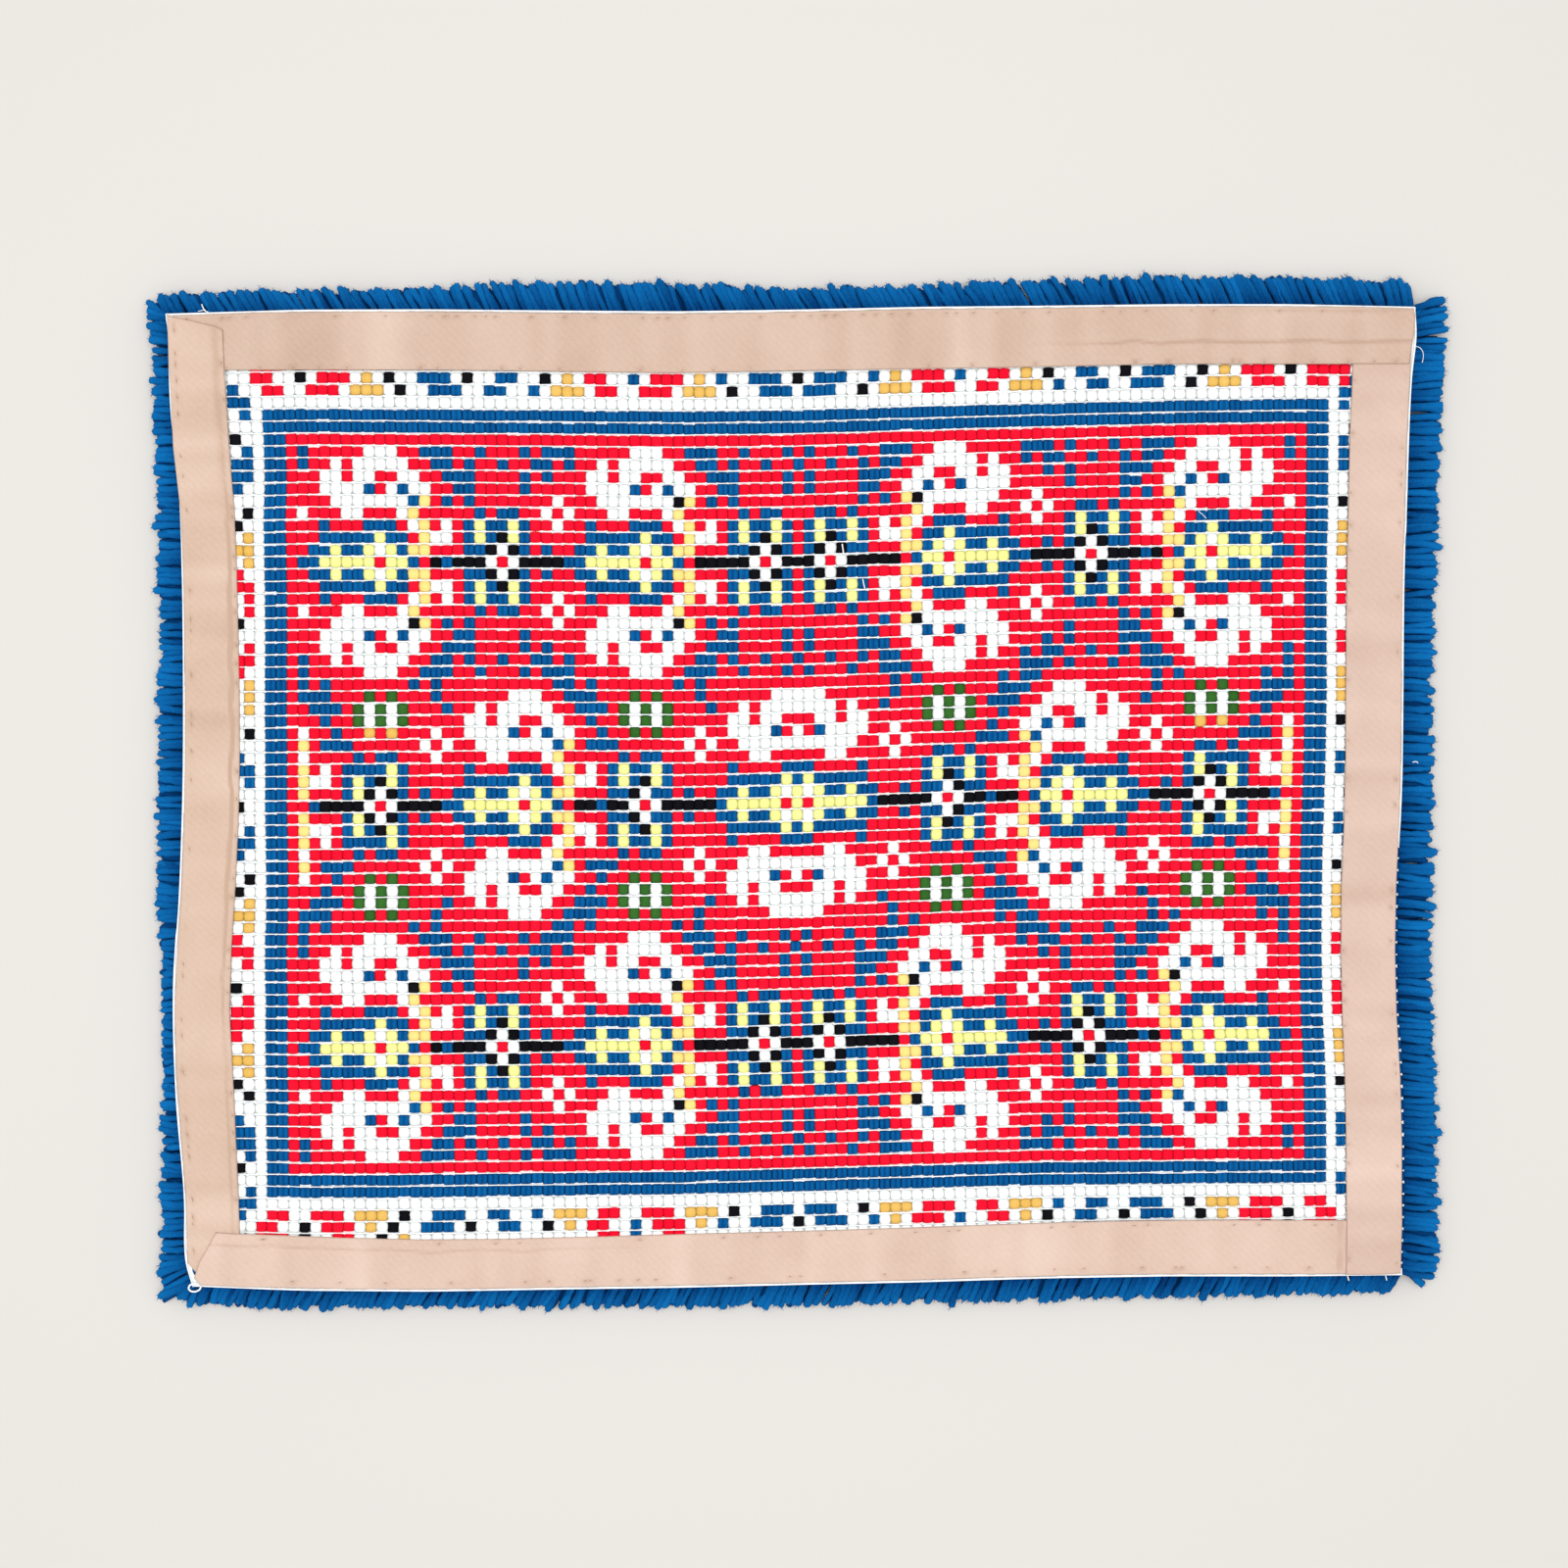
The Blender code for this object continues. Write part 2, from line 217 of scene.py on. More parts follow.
def make_piece(name, points, faces, material, node=None, tone=None, smooth=True):
    """Makes one closed piece. faces is a list of arrays, one for each number of corners."""
    if signed_volume(points - points.mean(axis=0), faces) < 0:
        faces = [group[:, ::-1] for group in faces]
    corners = np.concatenate([group.ravel() for group in faces])
    sizes = np.concatenate([np.full(len(group), group.shape[1]) for group in faces])
    mesh = bpy.data.meshes.new(name)
    mesh.vertices.add(len(points))
    mesh.vertices.foreach_set("co", points.astype(np.float32).ravel())
    mesh.loops.add(len(corners))
    mesh.loops.foreach_set("vertex_index", corners.astype(np.int32))
    mesh.polygons.add(len(sizes))
    mesh.polygons.foreach_set("loop_start", (np.cumsum(sizes) - sizes).astype(np.int32))
    mesh.update(calc_edges=True)
    mesh.polygons.foreach_set("use_smooth", np.full(len(sizes), smooth))
    if tone is not None:
        mesh.attributes.new("tone", "FLOAT", "POINT").data.foreach_set("value", tone.astype(np.float32))
    mesh.materials.append(material)
    piece = bpy.data.objects.new(name, mesh)
    bpy.context.scene.collection.objects.link(piece)
    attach(piece, "root")
    if node:
        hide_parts(node)
    print(f"{name}: {int((sizes - 2).sum())} triangles")
    return piece


def repeat_faces(faces, count, stride):
    """The faces of one form, for each of its copies, whose points follow each other."""
    starts = (np.arange(count) * stride)[:, None, None]
    return [(group[None] + starts).reshape(-1, group.shape[1]) for group in faces]


def grid_faces(across, down):
    """The quads of a grid of points and the ring of points round it."""
    index = np.arange(across * down).reshape(down, across)
    quads = np.stack([index[:-1, :-1], index[1:, :-1], index[1:, 1:], index[:-1, 1:]], axis=-1)
    ring = np.concatenate([index[0, :], index[1:, -1], index[-1, -2::-1], index[-2:0:-1, 0]])
    return quads.reshape(-1, 4), ring


def tubes(paths, radii, sides, plies=0, ply_depth=0.0, turns=0.0):
    """Round strands along paths (strand, ring, xyz), closed at both ends, plied if they are spun."""
    count, rings = paths.shape[:2]
    tangent = np.gradient(paths, axis=1)
    tangent /= np.linalg.norm(tangent, axis=-1, keepdims=True)
    level = np.cross(tangent, np.array([0.0, 0.0, 1.0]))
    level[np.linalg.norm(level, axis=-1) < 1e-6] = (1.0, 0.0, 0.0)
    level /= np.linalg.norm(level, axis=-1, keepdims=True)
    upward = np.cross(level, tangent)
    angle = np.arange(sides) * 2 * math.pi / sides
    spin = np.arange(rings)[:, None] / (rings - 1) * turns * 2 * math.pi
    ply = 1 + ply_depth * np.cos(plies * (angle[None, :] - spin))
    reach = radii[..., None] * ply[None]
    rim = paths[:, :, None] + reach[..., None] * (
        np.cos(angle)[None, None, :, None] * level[:, :, None]
        + np.sin(angle)[None, None, :, None] * upward[:, :, None]
    )
    index = np.arange(rings * sides).reshape(rings, sides)
    turned = np.roll(index, -1, axis=1)
    quads = np.stack([index[:-1], turned[:-1], turned[1:], index[1:]], axis=-1).reshape(-1, 4)
    caps = np.stack([index[0, ::-1], index[-1]])
    return rim.reshape(-1, 3), repeat_faces([quads, caps], count, rings * sides)


print("a grid of 5 by 5 points has", len(grid_faces(5, 5)[0]), "quads")

# %% [markdown]
# ## Where each knot lies
#
# A latch hook canvas has a square mesh, but this one was pulled out of true by the tape. Its outer
# line comes from the CAD node, corner to corner. Inside, the knotted blue frame stands at its own
# distance from each edge, and the rows sag a little. One function turns a column and a row of the
# chart to a place on the rug. Column 0 and row 0 are the top left corner of the blue frame.

# %% The outer line of the canvas
FIELD_COLUMNS = 97
FIELD_ROWS = 65
BORDER_KNOTS = 8
ALL_COLUMNS = FIELD_COLUMNS + 2 * BORDER_KNOTS
ALL_ROWS = FIELD_ROWS + 2 * BORDER_KNOTS
SIDE_LINE = 350.0 * MM

canvas_points = np.array([v.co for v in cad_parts["canvas"].data.vertices])
underside = canvas_points[canvas_points[:, 2] < canvas_low[2] + 0.1 * MM]
outline = np.unique(np.round(underside[:, :2], 6), axis=0)


def edge_line(points, sort_by, keep):
    """One side of the canvas, as how far its points are along it, from 0 to 1, and across it."""
    chosen = points[np.argsort(points[:, sort_by])]
    if sort_by == 1:
        chosen = chosen[::-1]
    return np.linspace(0, 1, len(chosen)), chosen[:, keep]


left_line = edge_line(outline[outline[:, 0] < -SIDE_LINE], 1, 0)
right_line = edge_line(outline[outline[:, 0] > SIDE_LINE], 1, 0)
corner_rows = [
    outline[(outline[:, 0] * way > SIDE_LINE)][:, 1] for way in (-1, 1)
]
between = outline[np.abs(outline[:, 0]) < SIDE_LINE]


def level_line(pick, sign):
    """The top or bottom of the canvas from its left corner to its right one."""
    inner = between[between[:, 1] * sign > 0]
    inner = inner[np.argsort(inner[:, 0])][:, 1]
    heights = np.concatenate([[pick(corner_rows[0])], inner, [pick(corner_rows[1])]])
    return np.linspace(0, 1, len(heights)), heights


top_line = level_line(np.max, 1)
bottom_line = level_line(np.min, -1)
print("points on the sides:", [len(line[0]) for line in (left_line, right_line, top_line, bottom_line)])

# %% The border's width round the blue frame, and the sag of its rows
# station along the side from the left or the top, millimetres from the canvas edge to the frame
BORDER = {
    "left": (
        (0, 58.6), (0.06, 57.3), (0.13, 55.9), (0.21, 51.4), (0.3, 51.0), (0.4, 50.5), (0.5, 51.3),
        (0.6, 54.3), (0.7, 57.6), (0.8, 56.0), (0.9, 51.2), (0.97, 50.7), (1, 46.2),
    ),
    "right": (
        (0, 54.4), (0.06, 52.9), (0.13, 51.0), (0.21, 49.8), (0.3, 49.0), (0.4, 48.4), (0.5, 49.0),
        (0.6, 47.9), (0.7, 47.5), (0.8, 48.6), (0.9, 49.4), (1, 47.7),
    ),
    "top": (
        (0, 58.6), (0.07, 60.7), (0.2, 61.6), (0.3, 61.4), (0.4, 61.6), (0.5, 61.9), (0.6, 61.4),
        (0.7, 60.1), (0.8, 59.4), (0.93, 57.8), (1, 56.2),
    ),
    "bottom": (
        (0, 54.4), (0.07, 56.7), (0.2, 58.0), (0.3, 57.7), (0.4, 57.5), (0.5, 57.5), (0.6, 58.0),
        (0.7, 57.5), (0.8, 56.8), (0.93, 57.6), (1, 57.4),
    ),
}
ROW_SAG = ((0, 2.3), (0.2, 1.3), (0.45, 1.4), (0.7, 0.6), (1, 1.0))
# how far the columns stand to the right of an even spacing
COLUMN_DRIFT = (
    (0, 0.3), (0.08, 0.5), (0.18, 1.6), (0.3, 2.6), (0.42, 2.5), (0.52, 1.9), (0.6, 1.1), (0.67, 0.4),
    (0.8, 0.6), (1, 0.8),
)


def read_table(table, station):
    """Reads a table of stations and millimetres at any station, in metres."""
    stations, values = zip(*table)
    return np.interp(station, stations, values) * MM


def step_between(place, low, high, low_border, high_border, knots):
    """A place in knots to a place in metres: the border, the field and the border again."""
    field = (high - high_border) - (low + low_border)
    before = low + (place + BORDER_KNOTS) / BORDER_KNOTS * low_border
    within = low + low_border + field * place / knots
    after = high - (knots + BORDER_KNOTS - place) / BORDER_KNOTS * high_border
    return np.where(place < 0, before, np.where(place > knots, after, within))


def lie(column, row):
    """Where a place on the chart lies on the rug, as x and y."""
    column, row = np.broadcast_arrays(np.asarray(column, float), np.asarray(row, float))
    across = (column + BORDER_KNOTS) / ALL_COLUMNS
    down = (row + BORDER_KNOTS) / ALL_ROWS
    x = step_between(
        column, np.interp(down, *left_line), np.interp(down, *right_line),
        read_table(BORDER["left"], down), read_table(BORDER["right"], down), FIELD_COLUMNS,
    )
    top = np.interp(across, *top_line)
    bottom = np.interp(across, *bottom_line)
    y = step_between(
        row, top, bottom,
        -read_table(BORDER["top"], across), -read_table(BORDER["bottom"], across), FIELD_ROWS,
    )
    u = np.clip(column / FIELD_COLUMNS, 0, 1)
    v = np.clip(row / FIELD_ROWS, 0, 1)
    in_border = np.clip((np.abs(column - FIELD_COLUMNS / 2) - FIELD_COLUMNS / 2) / BORDER_KNOTS, 0, 1)
    drift = read_table(COLUMN_DRIFT, u) * (1 - in_border)
    return x + drift, y - read_table(ROW_SAG, u) * 4 * v * (1 - v)


knot_width = float(np.diff(lie([48, 49], [32, 32])[0])[0])
knot_height = float(-np.diff(lie([48, 48], [32, 33])[1])[0])
print(f"a knot in the middle is {knot_width / MM:.2f} x {knot_height / MM:.2f} mm")

# %% [markdown]
# ## The chart
#
# A rug maker works from a squared chart with one square for each knot. This pattern is a common
# one of curved leaves and stars in three rows, the same on the left and right and nearly the same
# above and below, so the chart holds only one leaf, one star, half a middle motif and the border.
# Each is written row by row, from its middle outwards, and the script turns it over.

# %% The parts of the chart
# each line: rows from the motif's middle, first column from its middle, knots (a dot is the ground)
LEAF = (
    (9, -7, "......WWW"),
    (8, -7, "...WRWWWWW"),
    (7, -7, "..WWRWWRRWW"),
    (6, -7, "..WWWWBRWBWW"),
    (5, -7, "...WWWWWWWBY"),
    (4, -7, "....WWRRRWY"),
    (3, -7, "..BRRRBBBRWYRW"),
    (2, -7, "..BBBBBCBBRYWW"),
    (1, -7, ".BBCBBCWCBYY"),
    (0, -7, "BBCCCCCRCCBRKKKKK"),
)
STAR = (
    (4, -3, ".BRBB"),
    (3, -3, "BCBBCB"),
    (2, -3, "BCBKCB"),
    (1, -3, "BBKWKBRB"),
    (0, -1, "WRW"),
)
STAR_BELOW = (
    (4, -3, ".BRBB"),
    (3, -3, "BBBBCB"),
    (2, -3, "BCBKCB"),
    (1, -3, "BCKWKBRB"),
    (0, -1, "WRW"),
)
STAR_BETWEEN = (
    (4, -3, ".BRBB"),
    (3, -3, "BCBBCB"),
    (2, -3, "BCBKCB"),
    (1, -3, "BBKWBBRB"),
    (0, -1, "WRW"),
)
SIDE_MOTIF = (
    (6, 0, "W"),
    (5, 0, "Y"),
    (4, 0, "W"),
    (3, 0, "Y.W"),
    (2, 0, "YWW"),
    (1, 0, "Y"),
    (0, 0, "RBKKKKWRWKKKKB"),
)
MEDALLION = (
    (9, -2, "WWW"),
    (8, -5, "WRWWWW"),
    (7, -6, "WWRWWRR"),
    (6, -6, "WWWWBRW"),
    (5, -5, "WWWWWW"),
    (4, -4, "WW.RRR"),
    (3, -6, "BRRR.BB"),
    (2, -6, "BBBBBCB"),
    (1, -7, "BBCBBCWC"),
    (0, -12, "KKKKKBCCCCCRC"),
)
BEADS = (
    (-2, -1, "GRG"),
    (-1, -2, "GWGWG"),
    (0, -2, "GWGWG"),
    (1, -1, "GRG"),
)
# the blue trellis between the leaves: rows from a leaf's middle, and columns from it
TRELLIS = {
    9: (4, 5, 6, 9, 13, 15, 16, 17),
    8: (5, 6, 8, 11, 14, 15, 17),
    7: (6, 7, 8, 13, 15),
    6: (7, 8, 13),
    5: (6, 8),
    4: (9, 11, 12),
}
# the trellis that the middle row has to itself: chart row, and chart columns
MIDDLE_TRELLIS = {
    22: (3, 5, 13, 15, 26, 27, 29, 37, 39),
    23: (3, 4, 5, 15, 27, 28, 29, 39),
    24: (4, 5, 6, 16, 28, 29, 30, 40),
    25: (5, 29),
    26: (6, 30),
    27: (5, 6, 7, 29, 30, 31),
    28: (8, 10, 11, 32, 34, 35),
}
# the two rows of knots and the two columns of them that show of the border, as far as the middle
BORDER_ROW = "RRWWRRRWAAAWKWWBBBWWBBWWBWAAAWRRWWRRRWAAAWKWWBBBW"
BORDER_ROW_OUTER = "RRWWKWRRRWAWKWWBBBWKWWBBWWKWAWRRWWBWRRRWAWBWWBBBWK"
BORDER_COLUMN = {
    "B": (-1, 0, 3, 4, 5, 29, 30, 34, 35, 59, 60, 61, 64, 65),
    "K": (8, 26, 38, 56),
    "A": (10, 11, 12, 22, 23, 24, 40, 41, 42, 52, 53, 54),
    "R": (14, 15, 16, 19, 20, 44, 45, 48, 49, 50),
}
BORDER_COLUMN_OUTER = {
    "B": (-2, -1, 4, 5, 6, 28, 29, 35, 36, 58, 59, 60, 65, 66),
    "K": (2, 9, 17, 32, 39, 47, 55, 62),
    "A": (11, 41, 53),
    "R": (13, 14, 20, 21, 43, 44, 49, 50, 51),
}

# %% [markdown]
# The chart is filled from the outside in: the white border with its coloured dashes, the blue
# frame, the red ground and then the motifs. Only the top left quarter of the field is written.
# Turning it over twice gives the rest, just as a maker would read the same chart backwards.

# %% Filling the chart
chart = np.full((ALL_ROWS, ALL_COLUMNS), "W")
MIDDLE_COLUMN = FIELD_COLUMNS // 2
MIDDLE_ROW = FIELD_ROWS // 2
LEAF_ROW = 12
FRAME_BAND = 2


def knot_at(column, row):
    """The chart's own indices of a knot."""
    return row + BORDER_KNOTS, column + BORDER_KNOTS


def put(column, row, knots):
    """Writes a run of knots on the chart, from the left."""
    for i, letter in enumerate(knots):
        if letter != ".":
            chart[knot_at(column + i, row)] = letter


def draw(motif, column, row, ways=(-1, 1)):
    """Draws a motif round its middle, above it and below it."""
    for away, first, knots in motif:
        for way in ways:
            put(column + first, row + way * away, knots)


top_left = BORDER_KNOTS
chart[top_left:top_left + FIELD_ROWS, top_left:top_left + FIELD_COLUMNS] = "B"
inner = top_left + FRAME_BAND
chart[
    inner:top_left + FIELD_ROWS - FRAME_BAND, inner:top_left + FIELD_COLUMNS - FRAME_BAND
] = "R"

for leaf_column, last in ((10, 17), (34, 14)):
    for away, columns in TRELLIS.items():
        for offset in columns:
            if offset <= last:
                put(leaf_column + offset, LEAF_ROW - away, "B")
                put(leaf_column + offset, LEAF_ROW + away, "B")
for row, columns in MIDDLE_TRELLIS.items():
    for column in columns:
        put(column, row, "B")
for row in (3, 4, 20, 21):
    put(3, row, "B")
for row in (8, 16):
    put(3, row, "W")

draw(LEAF, 10, LEAF_ROW)
draw(LEAF, 34, LEAF_ROW)
for way in (-1, 1):
    put(37, LEAF_ROW + 5 * way, "K")
put(16, LEAF_ROW, "B")
put(13, LEAF_ROW + 5, "K")
put(23, LEAF_ROW, "KKKK")
put(47, LEAF_ROW, "KK")
draw(STAR, 21, LEAF_ROW)
draw(STAR, 45, LEAF_ROW)
draw(LEAF, 23, MIDDLE_ROW)
draw(SIDE_MOTIF, 3, MIDDLE_ROW)
draw(STAR_BELOW, 10, MIDDLE_ROW)
put(28, MIDDLE_ROW, "KKBKK")
draw(STAR_BETWEEN, 34, MIDDLE_ROW)
draw(MEDALLION, MIDDLE_COLUMN, MIDDLE_ROW)
draw(BEADS, 10, 25, ways=(1,))
draw(BEADS, 34, 25, ways=(1,))
for column, row in ((26, 8), (26, 16), (15, 27), (39, 27)):
    for aside, below in ((0, -1), (-1, 0), (1, 0), (0, 1)):
        put(column + aside, row + below, "W")

for row in range(MIDDLE_ROW + 1):
    for column in range(MIDDLE_COLUMN + 1):
        letter = chart[knot_at(column, row)]
        for other_column in (column, FIELD_COLUMNS - 1 - column):
            for other_row in (row, FIELD_ROWS - 1 - row):
                chart[knot_at(other_column, other_row)] = letter
for column in (9, 11, 85, 87):
    put(column, 26, "A")
print("knots in the field:", dict(zip(*np.unique(chart[8:73, 8:105], return_counts=True))))

# %% The border's dashes
for i, letter in enumerate(BORDER_ROW):
    for column in (i, FIELD_COLUMNS - 1 - i):
        for row in (-2, FIELD_ROWS + 1):
            put(column, row, letter)
for i, letter in enumerate(BORDER_ROW_OUTER):
    for column in (i - 1, FIELD_COLUMNS - i):
        for row in (-3, FIELD_ROWS + 2):
            put(column, row, letter)
for letter, rows in BORDER_COLUMN.items():
    for row in rows:
        put(-2, row, letter)
        put(FIELD_COLUMNS + 1, row, letter)
for letter, rows in BORDER_COLUMN_OUTER.items():
    for row in rows:
        put(-3, row, letter)
        put(FIELD_COLUMNS + 2, row, letter)
for row, letter in ((45, "R"), (47, "K"), (50, "R"), (51, "R")):
    put(-4, row, letter)
for row in (-4, FIELD_ROWS + 3):
    for column, run in ((-1, "RRRWK"), (6, "RR"), (10, "KWA"), (30, "RR"), (33, "B"), (36, "RR")):
        put(column, row, run)
for row in (-4, FIELD_ROWS + 3):
    put(88, row, "RRWKWKWRRR")
put(95, -3, "RRRR")
put(98, -2, "R")
HIDDEN_RING = 4
rows_of_chart, columns_of_chart = np.indices(chart.shape)
column_of = columns_of_chart - BORDER_KNOTS
row_of = rows_of_chart - BORDER_KNOTS
hidden = (
    (column_of < -HIDDEN_RING) | (column_of >= FIELD_COLUMNS + HIDDEN_RING)
    | (row_of < -HIDDEN_RING) | (row_of >= FIELD_ROWS + HIDDEN_RING)
)
chart[hidden] = "B"
bare_edge = (
    ((column_of == FIELD_COLUMNS + BORDER_KNOTS - 1) & (row_of >= 12))
    | ((column_of == -BORDER_KNOTS) & (row_of >= 22) & (row_of < 33))
)
hidden = hidden & ~bare_edge
print("knots under the tape:", int(hidden.sum()), "of", chart.size)

# %% [markdown]
# ## The knots
#
# On the back, each knot is the loop of yarn that goes round two threads of the canvas: a small
# cushion, as wide as the mesh, round at its top and bottom and pressed against its neighbours
# left and right. The blue yarn was thicker and shows two strands side by side.
# A knot is a grid of points pulled up to that form, closed below by one face. Where it touches
# its neighbour it stays at four fifths of its height, so a row reads as one ribbed cord.

# %% One knot of each kind
CANVAS_FACE = 15.4 * MM
KNOT_CREST = 17.25 * MM
HALF_LENGTH = 0.49
SIDE_HEIGHT = 0.8


# painted shade: how much darker a knot is painted in its folds and towards its rounded ends
FOLD_SHADE = 0.72
END_SHADE = 0.35
LOBE_DEPTH = 1.25
# light wool is plumper: its knots bulge over their neighbours and are narrow at both ends
LIGHT_WOOL = "WCYA"
BULGE = 0.12
END_NARROWING = 0.24


def knot_form(across, down, lobes, plump=False):
    """A knot in units of its own mesh: places across and down, heights and shade, and faces."""
    u, v = np.meshgrid(across, down)
    fold = (np.abs(u) / 0.5) ** 1.9 * (1 - SIDE_HEIGHT)
    if lobes == 2:
        fold = (1 - SIDE_HEIGHT) * LOBE_DEPTH * np.cos(u * 2 * math.pi) ** 4
    roundness = (np.abs(v) / HALF_LENGTH) ** 4.0
    height = (1 - fold) * np.sqrt(np.clip(1 - roundness, 0, 1))
    # painted shade in the folds and at the rounded ends, which tie_knots takes off the tone
    shade = FOLD_SHADE * fold / (1 - SIDE_HEIGHT) + END_SHADE * roundness
    right_side = np.clip(u / 0.5, 0, 1) ** 2.5
    left_side = np.clip(-u / 0.5, 0, 1) ** 2.5
    if plump:
        u = u * (1 + BULGE - END_NARROWING * (v / HALF_LENGTH) ** 2)
    v = v * (1 - 0.16 * right_side - 0.10 * left_side)
    quads, ring = grid_faces(len(across), len(down))
    return u.ravel(), v.ravel(), height.ravel(), shade.ravel(), [quads, ring[None]]


ROW_POINTS = np.array([-1, -0.7, 0, 0.7, 1]) * HALF_LENGTH
PLAIN_KNOT = knot_form(np.array([-0.5, -0.3, 0, 0.3, 0.5]), ROW_POINTS, 1)
PLUMP_KNOT = knot_form(np.array([-0.5, -0.3, 0, 0.3, 0.5]), ROW_POINTS, 1, plump=True)
DOUBLE_KNOT = knot_form(np.array([-0.5, -0.37, -0.23, 0, 0.23, 0.37, 0.5]), ROW_POINTS, 2)
HIDDEN_KNOT = knot_form(np.array([-0.5, 0, 0.5]), np.array([-1, 0, 1]) * HALF_LENGTH, 1)
print("points in a knot:", [len(form[0]) for form in (PLAIN_KNOT, DOUBLE_KNOT, HIDDEN_KNOT)])

# %% All the knots, a piece for each colour
# where the outermost knots reach the canvas edge instead of staying under the tape
BARE_EDGE_ROW = 37
TURNED_IN = 0.45
# painted shadow: how much darker the outermost knots are where only the fringe is beside them
EDGE_SHADOW = 0.8


def tie_knots(form, columns, rows):
    """Places a form at each of these knots. Returns points, faces and a tone for each point."""
    u, v, height, shade, faces = form
    count = len(columns)
    sway = chance.normal(0, 0.022, (count, 2))
    plump = chance.normal(1, 0.05, (count, 1))
    crest = chance.uniform(-0.12, 0.05, (count, 1)) * MM
    outer_left = columns == -BORDER_KNOTS
    outer_right = (columns == FIELD_COLUMNS + BORDER_KNOTS - 1) & (rows < BARE_EDGE_ROW)
    in_shadow = (columns == FIELD_COLUMNS + BORDER_KNOTS - 1) & (rows >= BARE_EDGE_ROW)
    outer_top = rows == -BORDER_KNOTS
    outer_bottom = rows == FIELD_ROWS + BORDER_KNOTS - 1
    column = columns[:, None] + 0.5 + sway[:, :1] * (1 - np.abs(u) * 2) + u * 1.0
    row = rows[:, None] + 0.5 + sway[:, 1:] + v * plump
    column = np.where(outer_left[:, None], columns[:, None] + 0.5 + TURNED_IN * u + 0.27, column)
    column = np.where(outer_right[:, None], columns[:, None] + 0.5 + TURNED_IN * u - 0.27, column)
    row = np.where(outer_top[:, None], rows[:, None] + 0.5 + TURNED_IN * v + 0.27, row)
    row = np.where(outer_bottom[:, None], rows[:, None] + 0.5 + TURNED_IN * v - 0.27, row)
    x, y = lie(column, row)
    z = CANVAS_FACE + (KNOT_CREST + crest - CANVAS_FACE) * height
    points = np.stack([x, y, z], axis=-1).reshape(-1, 3)
    # a random dye difference for each knot, less the painted shade of its folds and ends, and less a
    # painted shadow on the outermost knots where the fringe is beside them
    tone = chance.normal(0.5, 0.14, (count, 1)) - shade - EDGE_SHADOW * in_shadow[:, None]
    return points, repeat_faces(faces, count, len(u)), tone.ravel()


def join(parts):
    """Joins several sets of points, faces and tones into one."""
    points, faces, tones, start = [], [], [], 0
    for part_points, part_faces, part_tone in parts:
        points.append(part_points)
        faces += [group + start for group in part_faces]
        tones.append(part_tone)
        start += len(part_points)
    return np.concatenate(points), faces, np.concatenate(tones)


for letter, (name, light, dark) in YARNS.items():
    form = DOUBLE_KNOT if letter == "B" else PLUMP_KNOT if letter in LIGHT_WOOL else PLAIN_KNOT
    parts = []
    for chosen, kind in ((~hidden, form), (hidden, HIDDEN_KNOT)):
        mask = (chart == letter) & chosen
        if mask.any():
            parts.append(tie_knots(kind, column_of[mask], row_of[mask]))
    points, faces, tone = join(parts)
    make_piece(
        "knots_" + name, points, faces, knot_wool[letter], "canvas", tone
    )

# %% [markdown]
# ## The canvas under the knots
#
# The ground is a stiff cotton mesh, sized with starch, white and quite matt. Between two rows of
# knots its crosswise threads show as one thin white line. They are modelled as long prisms with
# a flat top, a little lower than the knots, and here and there they go out of sight under the wool.

# %% Sized cotton
THREAD_PITCH = 0.9 * MM


def sized_cotton(name, light, dark):
    """Stiff cotton thread, bleached and starched: matt, with the fine twist of its plies."""
    material, tree, shader = new_material(name, roughness=0.85, specular=0.2)
    place = add_node(tree, "ShaderNodeTexCoord")
    twist = add_node(tree, "ShaderNodeTexWave", {
        "Vector": place.outputs["Object"], "Scale": 1 / THREAD_PITCH / 2, "Distortion": 1.5,
        "Detail": 2.0,
    }, bands_direction="DIAGONAL")
    blend = add_node(tree, "ShaderNodeMix", {
        MIX_FACTOR: twist.outputs["Fac"], MIX_FIRST: linear(dark), MIX_SECOND: linear(light),
    }, data_type="RGBA")
    relief = add_node(tree, "ShaderNodeBump", {
        "Strength": 0.3, "Distance": BUMP_DISTANCE, "Height": twist.outputs["Fac"],
    })
    tree.links.new(blend.outputs[MIX_RESULT], shader.inputs["Base Color"])
    tree.links.new(relief.outputs[0], shader.inputs["Normal"])
    return material


canvas_cotton = sized_cotton("canvas_cotton", "#FFFFFF", "#F5FAFB")
CANVAS_UNDER = float(canvas_low[2])
GROUND_FACE = 15.7 * MM

ground_columns = np.linspace(-BORDER_KNOTS, FIELD_COLUMNS + BORDER_KNOTS, 57)
ground_rows = np.linspace(-BORDER_KNOTS, FIELD_ROWS + BORDER_KNOTS, 2 * ALL_ROWS + 1)
column, row = np.meshgrid(ground_columns, ground_rows)
ground_x, ground_y = lie(column, row)
upper = np.stack([ground_x, ground_y, np.full_like(ground_x, GROUND_FACE)], axis=-1).reshape(-1, 3)
quads, ring = grid_faces(len(ground_columns), len(ground_rows))
below = upper[ring] * (1, 1, 0) + (0, 0, CANVAS_UNDER)
low = np.arange(len(ring)) + len(upper)
walls = np.stack([ring, np.roll(ring, -1), np.roll(low, -1), low], axis=-1)
canvas_ground = make_piece(
    "canvas_ground", np.concatenate([upper, below]), [quads, walls, low[None]],
    canvas_cotton, "canvas", smooth=False,
)

# %% The crosswise threads that show between the rows of knots
WEFT_WIDTH = 0.115
FLAT_SHARE = 0.55
WEFT_TOP = 16.8 * MM
WEFT_FOOT = 15.5 * MM
BREAK_SHARE = 0.02


